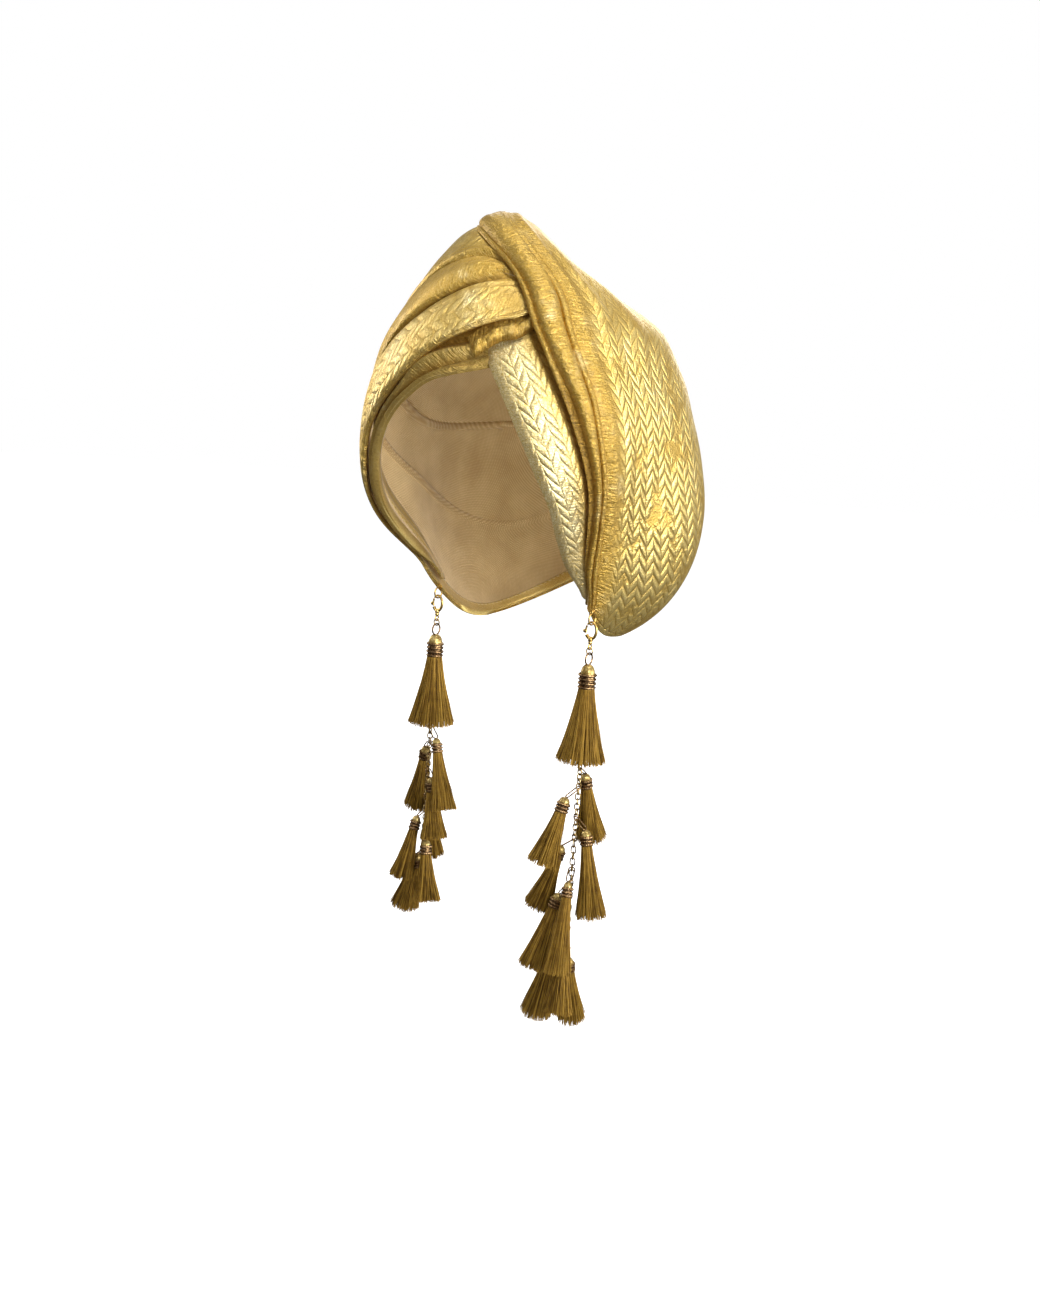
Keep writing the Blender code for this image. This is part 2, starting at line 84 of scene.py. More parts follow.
eye = Vector((sin(AROUND) * DISTANCE, -cos(AROUND) * DISTANCE, RISE))
ahead = Vector((-sin(AROUND) * cos(PITCH), cos(AROUND) * cos(PITCH), -sin(PITCH)))
level = Vector((cos(AROUND), sin(AROUND), 0))
upright = level.cross(ahead)
right = level * cos(ROLL) + upright * sin(ROLL)
up = upright * cos(ROLL) - level * sin(ROLL)
depth = (-eye).dot(ahead)
focal = depth / (MM_PER_PIXEL * MM)

camera_data = bpy.data.cameras.new("camera")
camera = shown("camera", camera_data)
camera.matrix_world = Matrix.Translation(eye) @ Matrix((right, up, -ahead)).transposed().to_4x4()
camera_data.sensor_width, camera_data.lens = SENSOR, focal * SENSOR / max(IMAGE)
head_x, head_y = focal * (-eye).dot(right) / depth, -focal * (-eye).dot(up) / depth
camera_data.shift_x = (IMAGE[0] / 2 + head_x - HEAD_PIXEL[0]) / max(IMAGE)
camera_data.shift_y = (HEAD_PIXEL[1] - head_y - IMAGE[1] / 2) / max(IMAGE)
camera_data.clip_start, camera_data.clip_end = 0.01, 50
bpy.context.scene.camera = camera
print("lens", round(camera_data.lens, 2))
print("shift", round(camera_data.shift_x, 4), round(camera_data.shift_y, 4))

# %% [markdown]
# ## Floor and light
#
# The studio is plain: a pale floor a centimetre under the lowest tassel, a bright even surround,
# and a few large soft lamps, named by their place in the picture. Foiled cloth only shows its folds
# if something bright and something dim stand on opposite sides of it, so the lamps at the picture's
# right are strong, and the floor, which would fill the folds with light, isn't mirrored in it.

# %% Lay the floor and hang the lamps
FLOOR = CAD_BOX[0][2] - 0.010
AIM = Vector((0, 0, -0.02))
floor_mesh = bmesh.new()
bmesh.ops.create_circle(floor_mesh, cap_ends=True, segments=96, radius=8)
bmesh.ops.translate(floor_mesh, verts=floor_mesh.verts, vec=(0, 0, FLOOR))
floor = shown("floor", bpy.data.meshes.new("floor"))
floor_mesh.to_mesh(floor.data)
floor_mesh.free()
floor.visible_glossy = False


def lamp(name, place, size, watts):
    """A square soft lamp that faces the headband."""
    data = bpy.data.lights.new(name, "AREA")
    data.shape, data.size, data.energy = "SQUARE", size, watts
    obj = shown(name, data)
    obj.location = place
    obj.rotation_mode = "QUATERNION"
    obj.rotation_quaternion = (Vector(place) - AIM).to_track_quat("Z", "Y")


lamp("overhead", (0.45, -0.15, 1.2), 0.45, 6.2)
lamp("front_left", (-0.35, -1.45, 0.75), 0.4, 1.7)
lamp("front_right", (1.25, -0.50, 0.25), 0.4, 15)
lamp("right_side", (1.35, 0.35, 0.0), 0.6, 11)
lamp("back", (-0.6, 1.3, 0.6), 0.9, 9)
lamp("left_side", (-1.3, -0.2, 0.3), 0.6, 9)

# %% [markdown]
# ## A small language for materials
#
# A material in Blender is a graph of nodes. Written out node by node it is long, so this class
# wraps one socket and lets arithmetic add the Math nodes. Colours go through Mix, because a Math
# node would turn them grey.

# %% Make sockets that can be added and multiplied
def operators(operation):
    """The two methods of a sign: with this signal first, and with this signal second."""
    return (
        lambda self, other: self.math(operation, self, other),
        lambda self, other: self.math(operation, other, self),
    )


def change(operation):
    return lambda self: self.math(operation, self)


class Signal:
    """One output socket of a material's nodes."""

    def __init__(self, tree, socket=None):
        self.tree, self.socket = tree, socket

    def node(self, kind, settings=None, inputs=None, out=0):
        """Adds a node: its settings first, then the values or signals of its inputs."""
        made = self.tree.nodes.new(kind)
        for key, value in (settings or {}).items():
            if key == "stops":
                while len(made.color_ramp.elements) < len(value):
                    made.color_ramp.elements.new(0.5)
                for stop, (place, colour) in zip(made.color_ramp.elements, value):
                    stop.position, stop.color = place, (*colour, 1)
            else:
                setattr(made, key, value)
        for key, value in (inputs or {}).items():
            if isinstance(value, Signal):
                self.tree.links.new(value.socket, made.inputs[key])
            elif value is not None:
                made.inputs[key].default_value = value
        return Signal(self.tree, made.outputs[out])

    def math(self, operation, first, second=None):
        return self.node("ShaderNodeMath", {"operation": operation}, {0: first, 1: second})

    __add__, __radd__ = operators("ADD")
    __sub__, __rsub__ = operators("SUBTRACT")
    __mul__, __rmul__ = operators("MULTIPLY")
    __truediv__, __mod__, __pow__ = (operators(o)[0] for o in ("DIVIDE", "FLOORED_MODULO", "POWER"))
    floor, absolute, wave = (change(o) for o in ("FLOOR", "ABSOLUTE", "SINE"))

    def between(self, low, high):
        """0 below low, 1 above high, and smooth between."""
        return self.node(
            "ShaderNodeMapRange", {"interpolation_type": "SMOOTHSTEP"}, {0: self, 1: low, 2: high}
        )

    def blend(self, start, end):
        """The colour this share of the way from start to end."""
        start, end = [(*c, 1) if isinstance(c, tuple) else c for c in (start, end)]
        return self.node("ShaderNodeMix", {"data_type": "RGBA"}, {0: self, 6: start, 7: end}, out=2)

    def here(self):
        """The place on the object, in metres."""
        return self.node("ShaderNodeTexCoord", out=3)

    def attribute(self, name):
        return self.node("ShaderNodeAttribute", {"attribute_name": name}, out=2)

    def weave(self):
        """(the weave map, its u in mm, its v in mm)."""
        flat = self.node("ShaderNodeUVMap", {"uv_map": "weave"})
        u, v = (100 * self.node("ShaderNodeSeparateXYZ", {}, {0: flat}, out=k) for k in (0, 1))
        return flat, u, v

    def noise(self, at, scale, detail=2.0, roughness=0.5, distortion=0.0, space="3D"):
        inputs = {"Vector": at, "Scale": scale, "Detail": detail, "Roughness": roughness}
        inputs["Distortion"] = distortion
        return self.node("ShaderNodeTexNoise", {"noise_dimensions": space}, inputs)


def finish_of(name, **values):
    """A new material: (material, a signal to build on, its shader's inputs)."""
    made = bpy.data.materials.new(name)
    made.use_nodes = True
    shader = made.node_tree.nodes["Principled BSDF"]
    for key, value in values.items():
        shader.inputs[key.replace("_", " ")].default_value = value
    return made, Signal(made.node_tree), shader.inputs


def feed(signal, socket):
    signal.tree.links.new(signal.socket, socket)


def bump(height):
    """A normal that follows a height in millimetres."""
    return height.node("ShaderNodeBump", {}, {"Height": height, "Distance": MM})


print("signals ready")

# %% [markdown]
# The floor and the surround come first. The surround is white where the camera looks past the
# object, and a soft gradient for the light it gives: brighter above, dimmer low down.

# %% Paint the floor and the surround
pale_floor, lay, sockets = finish_of(
    "pale_floor", Roughness=0.7, Emission_Color=(1, 1, 1, 1), Emission_Strength=0.62
)
grain = lay.noise(lay.here(), 3.0)
feed(grain.blend((0.88, 0.88, 0.88), (0.92, 0.92, 0.92)), sockets["Base Color"])
floor.data.materials.append(pale_floor)

world = bpy.data.worlds.new("studio")
bpy.context.scene.world = world
world.use_nodes = True
sky = Signal(world.node_tree)
direction = sky.node("ShaderNodeTexCoord", out=0)
sideways = sky.node("ShaderNodeSeparateXYZ", {}, {0: direction}, out=0)
height = sky.node("ShaderNodeSeparateXYZ", {}, {0: direction}, out=2)
soft = (height + 0.55 * sideways).between(-0.6, 1.0).blend((0.03, 0.02, 0.012), (0.62, 0.62, 0.62))
seen = sky.node("ShaderNodeLightPath", out=0)
background = world.node_tree.nodes["Background"]
feed(seen.blend(soft, (1.0, 1.0, 1.0)), background.inputs["Color"])
background.inputs["Strength"].default_value = 1.0
bpy.context.scene.view_settings.view_transform = "Standard"
print("surround painted")

# %% [markdown]
# ## The form under the cloth
#
# Every cloth piece is laid over one smooth form: a radius for each direction from the middle of the
# head. The table holds the radii, and a curve through its rows and five cosines round it give the
# radius anywhere. It is the same form that the solids were made on, so the pieces fit them.

# %% Describe the form
def table(names, *rows):
    """The columns of a table by name, from its rows."""
    return dict(zip(names.split(), np.array(rows, float).T))


FORM = table(
    "elevation front temple side corner back",
    (-90, 105, 105, 105, 105, 105),
    (-60, 98, 100, 109, 126, 122),
    (-45, 99, 98, 98, 129, 126),
    (-30, 99, 97, 89, 126, 122),
    (-15, 99, 97, 85, 119, 118),
    (0, 99, 97, 85, 111, 113),
    (15, 101, 98, 87, 106, 109),
    (30, 106, 101, 91, 106, 106),
    (45, 114, 107, 98, 106, 104),
    (60, 126, 117, 103, 102, 103),
    (75, 138, 127, 109, 105, 104),
    (90, 120, 120, 120, 120, 120),
)
COSINES = np.linalg.inv([[cos(k * n * pi / 4) for k in range(5)] for n in range(5)])


def curve_through(knots, values, at):
    """Values on a smooth curve through (knots, values), at an array of places."""
    slopes = np.gradient(values, knots)
    at = np.clip(at, knots[0], knots[-1])
    i = np.clip(np.searchsorted(knots, at, side="right") - 1, 0, len(knots) - 2)
    span = knots[i + 1] - knots[i]
    x = (at - knots[i]) / span
    return (
        (2 * x**3 - 3 * x**2 + 1) * values[i]
        + (x**3 - 2 * x**2 + x) * span * slopes[i]
        + (3 * x**2 - 2 * x**3) * values[i + 1]
        + (x**3 - x**2) * span * slopes[i + 1]
    )


def row_at(columns, share):
    """A table's row, by column name, at each share of the way through its rows."""
    return {
        name: curve_through(np.linspace(0, 1, len(values)), values, share)
        for name, values in columns.items()
    }


def headings(azimuth, elevation):
    """Unit vectors, as an array of three rows, from arrays of degrees."""
    a, e = np.radians(azimuth), np.radians(elevation)
    return np.array([np.cos(e) * np.sin(a), -np.cos(e) * np.cos(a), np.sin(e)])


def form_radius(d):
    elevation = np.degrees(np.arctan2(d[2], np.hypot(d[0], d[1])))
    azimuth = np.arctan2(d[0], -d[1])
    ring = np.array([curve_through(FORM["elevation"], FORM[c], elevation) for c in list(FORM)[1:]])
    weights = np.tensordot(COSINES, ring, axes=1)
    return sum(w * np.cos(k * azimuth) for k, w in enumerate(weights))


def way_of(row, end):
    """The directions that a table's row gives for one end of its line."""
    return headings(row[f"{end}_az"], row[f"{end}_el"])


def angle_between(low, high):
    return np.arccos(np.clip((low * high).sum(0), -1, 1))


def great_circle(low, high, share):
    """The directions a share of the way from low to high. A share may pass 0 or 1 a little."""
    angle = angle_between(low, high)
    return (low * np.sin((1 - share) * angle) + high * np.sin(share * angle)) / np.sin(angle)


def laid(way, lift):
    """The points above the form by a lift in mm."""
    return way * (form_radius(way) + lift)


def clamp(x):
    return np.clip(x, 0, 1)


def smooth(low, high, x):
    """From 0 at low to 1 at high, and level beyond them."""
    x = clamp((x - low) / (high - low))
    return x * x * (3 - 2 * x)


def fade(low, high, x):
    """From 1 at low to 0 at high."""
    return 1 - smooth(low, high, x)


def dome(x):
    """Half a circle over 0 to 1."""
    return np.sqrt(clamp(1 - (2 * x - 1) ** 2))


def bell(x, wide):
    return np.exp(-((x / wide) ** 2))


def hump(x, half):
    """A smooth hump from -half to half."""
    return np.cos(np.clip(x / half, -1, 1) * pi / 2) ** 2


print("radius at the front:", form_radius(headings(np.array([0.0]), np.array([0.0]))).round(1))

# %% [markdown]
# ## From a flat grid to cloth
#
# Cloth is made from a flat grid with Blender's own operator. A function moves each point to its
# place, and returns what the finish needs to know there: how strongly the herringbone shows, how
# crumpled, and how far painted shade darkens or a painted highlight pales the cloth. The weave map
# is in millimetres along the cloth, so the pattern keeps its size on every piece. Solidify then gives
# the padded wall, which is pressed thinner at its borders, and its inner face shows the bare weave.

# %% Make the cloth helper
WALL, RIM = 2.2, 0.7  # mm
PRESSED, PRESSED_WIDE = 0.45, 3  # the share of the wall left at a border, and how far in, in mm


def unevenness(u, v, cells_u, cells_v, seed):
    """A smooth random field from -1 to 1: random heights on a coarse lattice, eased between."""
    lattice = np.random.default_rng(seed).uniform(-1, 1, (cells_u + 3, cells_v + 3))
    x, y = clamp(u) * cells_u, clamp(v) * cells_v
    i, j = x.astype(int), y.astype(int)
    fx, fy = smooth(0, 1, x - i), smooth(0, 1, y - j)
    low = lattice[i, j] * (1 - fx) + lattice[i + 1, j] * fx
    high = lattice[i, j + 1] * (1 - fx) + lattice[i + 1, j + 1] * fx
    return low * (1 - fy) + high * fy


def attribute_of(mesh, name, values):
    made = mesh.attributes.new(name, "FLOAT", "POINT")
    made.data.foreach_set("value", np.asarray(values, np.float32))


def cloth(node, place, columns, rows, hems=()):
    """The padded piece of a node. place(across, along) gives points, run (both mm) and attributes.

    hems names the borders that are hemmed: low and high are the ends of along, near and far of across.
    The piece wears the two finishes that the next cells mix.
    """
    bm = bmesh.new()
    bmesh.ops.create_grid(bm, x_segments=columns, y_segments=rows, size=0.5)
    grid = np.array([vert.co for vert in bm.verts])
    i, j = (np.rint((grid[:, k] + 0.5) * n).astype(int) for k, n in ((0, columns), (1, rows)))
    across, along = (np.linspace(0, 1, n + 1) for n in (columns, rows))
    across, along = np.meshgrid(across, along, indexing="ij")
    points, run, extra = place(across, along)
    steps = np.linalg.norm(np.diff(points, axis=2), axis=0)
    rise = np.concatenate([np.zeros((columns + 1, 1)), np.cumsum(steps, axis=1)], axis=1)
    middle = rise - rise[:, [rows // 2]]
    strides = np.linalg.norm(np.diff(points, axis=1), axis=0)
    walk = np.concatenate([np.zeros((1, rows + 1)), np.cumsum(strides, axis=0)], axis=0)
    borders = {"low": rise, "high": rise[:, -1:] - rise, "near": walk, "far": walk[-1:] - walk}
    extra["hem"] = np.min([np.full_like(rise, 99)] + [borders[name] for name in hems], axis=0)
    extra["edge"] = np.min(list(borders.values()), axis=0)
    for vert, place_mm in zip(bm.verts, points[:, i, j].T):
        vert.co = Vector(place_mm) * MM
    bm.normal_update()
    if sum(face.normal.dot(face.calc_center_median()) for face in bm.faces) < 0:
        bmesh.ops.reverse_faces(bm, faces=bm.faces)
    weave = bm.loops.layers.uv.new("weave")
    bm.verts.index_update()
    u, v = run[i, j] / 100, middle[i, j] / 100
    for face in bm.faces:
        for loop in face.loops:
            loop[weave].uv = u[loop.vert.index], v[loop.vert.index]
    name = f"{node}_cloth"
    mesh = bpy.data.meshes.new(name)
    bm.to_mesh(mesh)
    bm.free()
    for key, values in extra.items():
        attribute_of(mesh, key, np.broadcast_to(values, across.shape)[i, j])
    mesh.shade_smooth()
    obj = shown(name, mesh)
    for finish in (gold_cloth, reverse):
        mesh.materials.append(finish)
    pressed = obj.vertex_groups.new(name="wall")
    thickness = PRESSED + (1 - PRESSED) * smooth(0, PRESSED_WIDE, extra["edge"][i, j])
    for index, thick in enumerate(thickness):
        pressed.add([index], float(thick), "REPLACE")
    wall = obj.modifiers.new("wall", "SOLIDIFY")
    wall.vertex_group = "wall"
    wall.thickness, wall.offset, wall.material_offset, wall.material_offset_rim = WALL * MM, -1, 1, 0
    rim = obj.modifiers.new("rim", "BEVEL")
    rim.width, rim.segments, rim.limit_method, rim.angle_limit = RIM * MM, 3, "ANGLE", radians(60)
    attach(obj, "headband")
    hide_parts(node)
    faces, wide, long = len(mesh.polygons), walk[-1].max(), rise[:, -1].max()
    print(f"{name} {faces} faces, flat {wide:.0f} x {long:.0f} mm")


# %% [markdown]
# ## The foiled cloth
#
# The outer face is a gold foil on a thick knit, pressed with a herringbone whose columns are about
# 6 mm wide. The pattern is worked out on the weave map: the column number says which way its grains
# slope, and each grain is a small puffed bar. Over it lie a fine leathery crackle, crumples across
# the rolls, and a seam with stitches along the hem. Foil wears paler on the highs. Painted shade
# darkens the crumples' creases, the hollows of folds and the cloth where another fold hangs over
# it, and a painted highlight pales parts of the face bands and the right swathe.

# %% Mix the gold cloth
GRAIN_COLUMN, GRAIN_PITCH, GRAIN_SLOPE = 6.2, 7.7, 1.0
STITCH, SEAM_IN = 3.2, 4.0  # mm from stitch to stitch, and from the hem's edge to its seam


def herringbone(lay):
    """(height 0 to 1, u in mm, v in mm) of the pressed pattern."""
    flat, u, v = lay.weave()
    v = v + 1.6 * lay.noise(flat, 9.0, space="2D")
    column = u / GRAIN_COLUMN
    share = column - column.floor()
    side = 1 - 2 * (column.floor() % 2.0)
    line = v / GRAIN_PITCH + side * (share - 0.5) * GRAIN_SLOPE
    bar = line - line.floor()
    puff = 1 - (2 * bar - 1).absolute() ** 2.4
    edge = 1 - (2 * share - 1).absolute() ** 8.0
    return puff * (0.5 + 0.5 * edge), u, v


gold_cloth, lay, sockets = finish_of(
    "gold_cloth", Metallic=0.88, Roughness=0.4, Coat_Weight=0.08, Coat_Roughness=0.3
)
here = lay.here()
press, u, v = herringbone(lay)
emboss, crumple, hem, hollow, painted_highlight = (
    lay.attribute(name) for name in ("emboss", "crumple", "hem", "hollow", "pale")
)
fine = lay.noise(here, 1300.0, 3.0, 0.6)
patch = lay.noise(here, 55.0, 4.0, 0.62)
crackle = lay.node(
    "ShaderNodeTexVoronoi", {"feature": "DISTANCE_TO_EDGE"}, {"Vector": here, "Scale": 620.0}
)
crease_map = lay.node("ShaderNodeCombineXYZ", {}, {0: u * 0.10, 1: v * 0.75})
creases = lay.noise(crease_map, 1.0, 3.0, 0.6, 0.4, "2D")
crinkle = lay.noise(here, 330.0, 4.0, 0.66, 0.6)
pressed = press * (emboss * patch.between(0.28, 0.52))
crack = crackle.between(0.0, 0.10)
stitch = (v * (2 * pi / STITCH)).wave().between(-0.2, 0.3)
seam = 1 - (hem - SEAM_IN).absolute().between(0.0, 0.9)
height_mm = (
    0.80 * pressed
    + 0.15 * fine
    + 0.03 * crack
    + (1.25 * creases + 0.75 * crinkle) * crumple
    + 0.18 * crinkle
    - 0.45 * seam * (0.6 + 0.4 * stitch)
)
feed(bump(height_mm), sockets["Normal"])
wear_and_crease_shade = 0.55 * pressed + 0.95 * fine - 0.25 + 0.35 * patch + 0.30 * crinkle - 0.25 * seam
# Painted shade: the crumples' creases are darkened, on top of the paler wear on the highs.
wear_and_crease_shade = (wear_and_crease_shade + 0.25 * (creases - 1.35) * crumple).between(0.35, 1.15)
base = wear_and_crease_shade.blend((0.50, 0.31, 0.055), (0.90, 0.70, 0.25))
# Random pale patches of wear, plus a painted highlight from the pale attribute.
pale = (patch.between(0.5, 0.85) * 0.7 + painted_highlight).between(0.0, 1.0)
cracked = crack.blend((0.62, 0.43, 0.12), pale.blend(base, (0.97, 0.87, 0.52)))
# Painted shade: the cloth turns dark brown in the hollows of its folds and where another fold hangs over
# it.
feed((hollow * 0.8).blend(cracked, (0.30, 0.17, 0.03)), sockets["Base Color"])
feed(0.25 + 0.14 * fine + 0.12 * (1 - pressed), sockets["Roughness"])
print("gold cloth:", len(gold_cloth.node_tree.nodes), "nodes")

# %% [markdown]
# The wall's inner face is a plain tan twill, with no foil. It shows through the open face and
# crown. Fine diagonal threads in the weave map's millimetres make the twill, and the cloth is
# turned in at its borders, so that foil, and a row of stitches, show along them.

# %% Mix the reverse of the cloth
TURNED_IN, THREAD_PITCH, CROSS_PITCH, REVERSE_STITCH = 12, 1.7, 1.2, 3.4
reverse, lay, sockets = finish_of(
    "woven_reverse", Roughness=0.82, Sheen_Weight=0.2, Sheen_Roughness=0.5
)
here = lay.here()
u, v = lay.weave()[1:]
threads = 0.5 + 0.5 * ((u + v) * (2 * pi / THREAD_PITCH)).wave()
cross = 0.5 + 0.5 * ((u - 0.4 * v) * (2 * pi / CROSS_PITCH)).wave()
woven = threads * cross
cloudy = lay.noise(here, 45.0, 4.0)
fine = lay.noise(here, 1300.0, 3.0)
edge, hollow = lay.attribute("edge"), lay.attribute("hollow")
inside = edge.between(TURNED_IN - 0.4, TURNED_IN + 0.4)
dashes = ((u + v) * (2 * pi / REVERSE_STITCH)).wave().between(-0.3, 0.2)
stitches = (1 - (edge - (TURNED_IN - 1.4)).absolute().between(0.25, 0.7)) * dashes
twill = (0.6 * woven + 0.75 * cloudy).between(0.15, 1.1).blend((0.40, 0.26, 0.10), (0.74, 0.55, 0.27))
foil = (0.6 * fine + 0.5 * cloudy).between(0.3, 0.85).blend((0.56, 0.38, 0.085), (0.88, 0.71, 0.28))
sewn = (stitches * 0.7).blend(inside.blend(foil, twill), (0.93, 0.80, 0.45))
# Painted shade: the reverse turns dark brown where a fold's hollow lies.
feed((hollow.between(0.1, 0.6) * 0.45).blend(sewn, (0.20, 0.11, 0.03)), sockets["Base Color"])
feed(0.8 - 0.8 * inside, sockets["Metallic"])
relief = (0.25 * woven + 0.3 * cloudy) * inside + 0.12 * fine - 0.8 * inside + 0.3 * stitches
feed(bump(relief), sockets["Normal"])
feed(0.42 + 0.38 * inside + 0.08 * cloudy, sockets["Roughness"])
print("reverse:", len(reverse.node_tree.nodes), "nodes")

# %% [markdown]
# ## The left swathe
#
# The upper cloth of the crossing: a wide panel over the left side of the head, whose front edge is
# rolled twice. Its table gives each line from the roll round to the back seam. The rolls are half
# circles that merge into one crest at the peak. In front of them a fold lies deeper, darkened with
# painted shade, and the cloth's edge peeps out as a thin lip. Long shallow folds fan down from the
# peak where the cloth is pulled together, and at the back both swathes sink to the same seam.

# %% Lay the left swathe
BACK_SEAM, SEAM_LAP, EDGE_LIFT, PANEL_EASE = 179.97, 0.25, -4.0, 8.0
SEAM_LOW, SEAM_HIGH = -36, 42  # the back seam's ends, in degrees up
LIP, FIRST, SECOND = 0.05, 0.24, 0.42  # the shares across where the lip and the two rolls end
LEFT_SWATHE = table(
    "front_az front_el mid_az mid_el back_el length roll_1 roll_2 rise",
    (85, -56, 125, -59, -36, 115, 4, 4, 0.0),
    (74, -44, 124, -41, -26, 165, 5, 6, 0.0),
    (67, -27, 120, -26, -16, 195, 5.5, 6, 0.0),
    (62, -11, 117, -10, -6, 210, 6.5, 6, 0.0),
    (55, 6, 115, 6, 4, 215, 8.5, 6, 0.0),
    (47, 24, 111, 22, 13, 210, 12.5, 6, 0.5),
    (39, 40, 106, 37, 22, 195, 15.5, 6, 1.5),
    (25, 57, 100, 51, 32, 175, 17.5, 6.5, 3.2),
    (-22, 73, 70, 70, 42, 150, 17, 7, 7.0),
)


def back_valley(azimuth):
    """How far the cloth dips into the seam at the back, in mm."""
    return 1.6 * fade(0, 4.5, np.abs(np.abs(azimuth) - 180) * 2.0)


def seam_lift(elevation):
    """The lift that both swathes have where they meet at the back, in mm."""
    return -4.8 * smooth(0.68, 0.88, (elevation - SEAM_LOW) / (SEAM_HIGH - SEAM_LOW))


def left_swathe_place(across, along):
    row = row_at(LEFT_SWATHE, along)
    roll_1, roll_2 = row["roll_1"], row["roll_2"]
    shaded = 4.6 * smooth(0.10, 0.28, along) * fade(0.58, 0.74, along)
    rolls = shaded + roll_1 + roll_2
    lip_wide = 1.2 + 2.6 * smooth(0.56, 0.74, along) * fade(0.93, 1.0, along)
    lip = clamp(1 - across / LIP)
    first = clamp((across - LIP) / (FIRST - LIP))
    second = (across - FIRST) / (SECOND - FIRST)
    panel = clamp((across - SECOND) / (1 - SECOND))
    panel_run = (row["length"] - rolls) * panel
    over_2 = shaded + roll_1 + roll_2 * second
    run = np.where(across < SECOND, over_2, rolls + panel_run)
    run = np.where(across < FIRST, shaded + roll_1 * first, run)
    run = run - (lip_wide + shaded) * lip
    crest = smooth(0.84, 0.97, along)
    tame = 1 - 0.6 * smooth(0.92, 1.0, along)
    tame_2 = 1 - 0.85 * smooth(0.78, 0.95, along)
    bulge = dome(first) ** 0.85
    bulge = bulge + crest * np.where(first > 0.5, 1 - bulge, 0)
    lift_1 = EDGE_LIFT + 0.5 + tame * np.minimum(5.2, 0.5 * roll_1) * bulge
    lift_1 = np.where(across < LIP, EDGE_LIFT - 0.6 + 1.5 * dome(lip) * lip_wide / 3.8, lift_1)
    puffed = tame_2 * np.minimum(3.5, 0.55 * roll_2) * dome(clamp(second))
    lift_2 = -2.9 + puffed * (1 - 0.35 * second)
    lift_2 = lift_2 + crest * (-1.4 - lift_2)
    lift_3 = -1.6 * fade(0, PANEL_EASE, panel_run)
    fan = smooth(0.30, 0.85, along) * (1 - 0.75 * crest)
    folds = 0.5 * hump(panel_run - 9, 5) * smooth(0.1, 0.5, along)
    for down_from_roll, half in ((24, 9), (52, 13)):
        folds += 1.2 * hump(panel_run - down_from_roll, half) * fan
    folds += 0.8 * unevenness(across, along, 9, 7, 11) * smooth(0.45, 0.6, across)
    lift = np.where(across < SECOND, lift_2, lift_3 + folds)
    lift = np.where(across < FIRST, lift_1, lift)
    crinkle = unevenness(across, along, 16, 90, 5) + 0.6 * unevenness(across, along, 30, 150, 6)
    free = np.maximum(smooth(0, 0.2, first), clamp((lip_wide + shaded - 1.2) / 2))
    lift += 0.22 * crinkle * fade(0.40, 0.52, across) * smooth(0, 0.03, across) * free
    lift += row["rise"] * fade(rolls - 8, rolls + 20 + 22 * crest, run)
    lift += 5.0 * smooth(0.66, 0.88, along) * np.sin(pi * clamp((panel_run - 12) / 98))
    lift -= 5.0 * smooth(0.90, 1.0, along) ** 2
    s = run / row["length"]
    weights = (1 - s) * (1 - 2 * s), 4 * s * (1 - s), s * (2 * s - 1)
    row["back_az"] = BACK_SEAM + SEAM_LAP
    azimuth, elevation = (
        sum(row[f"{at}_{kind}"] * w for at, w in zip(("front", "mid", "back"), weights))
        for kind in ("az", "el")
    )
    lift += smooth(0.8, 1.0, panel) * (seam_lift(elevation) - lift)
    lift -= back_valley(azimuth)
    way = headings(azimuth, elevation)
    emboss = smooth(8, 26, run - rolls) * (1 - 0.75 * smooth(0.62, 0.9, along)) + 0.12
    emboss = emboss * fade(0.93, 0.99, along)
    # Painted shade: the cloth sinking low in front of the rolls is marked to be darkened.
    hollow = fade(-3.9, -2.3, lift) * fade(0.40, 0.50, across)
    return laid(way, lift), run - rolls, {
        "emboss": clamp(emboss),
        "crumple": 1 - smooth(4, 20, run - rolls) * 0.85,
        "hollow": hollow * fade(0.88, 0.95, along),
    }


cloth("left_swathe", left_swathe_place, 134, 150, ("low", "high"))

# %% [markdown]
# ## The right swathe
#
# The lower cloth of the crossing, laid in three overlapping pleats from the knot round to the
# back. Its cross-section is a short table: each row is a place on the way up, as a share between
# the low edge, the two creases and the high edge plus a nudge in millimetres, and a lift. Where
# the nudges turn back, the pleat above hangs over the one below and casts a dark line, and painted
# shade darkens that crease further. Towards the back the pleats are too shallow for that, and a
# second table opens each to a valley 6 mm wide.

# %% Lay the right swathe
RIGHT_SWATHE = table(
    "low_az low_el high_az high_el crease_low crease_high depth lift",
    (44, 49, 32, 62, 0.48, 0.58, 0.0, -4.8),
    (30, 44.5, 18, 68, 0.47, 0.62, 1.0, -4.8),
    (14, 38, -2, 71, 0.42, 0.65, 4.0, -1.5),
    (-3, 29.5, -26, 70.5, 0.38, 0.63, 5.0, 0.0),
    (-18, 18, -50, 68.5, 0.36, 0.60, 5.0, 0.0),
    (-31, 4.5, -70, 66, 0.34, 0.57, 4.5, 0.0),
    (-39, -13, -88, 63, 0.33, 0.55, 4.0, 0.0),
    (-50, -30, -104, 60, 0.33, 0.54, 3.0, 0.0),
    (-66, -45, -120, 56, 0.32, 0.55, 2.5, 0.0),
    (-86, -56, -136, 52, 0.33, 0.60, 2.0, 0.0),
    (-125, -59, -156, 47, 0.33, 0.66, 1.0, 0.0),
    (-BACK_SEAM, SEAM_LOW, -BACK_SEAM, SEAM_HIGH, 0.33, 0.66, 0.0, 0.0),
)
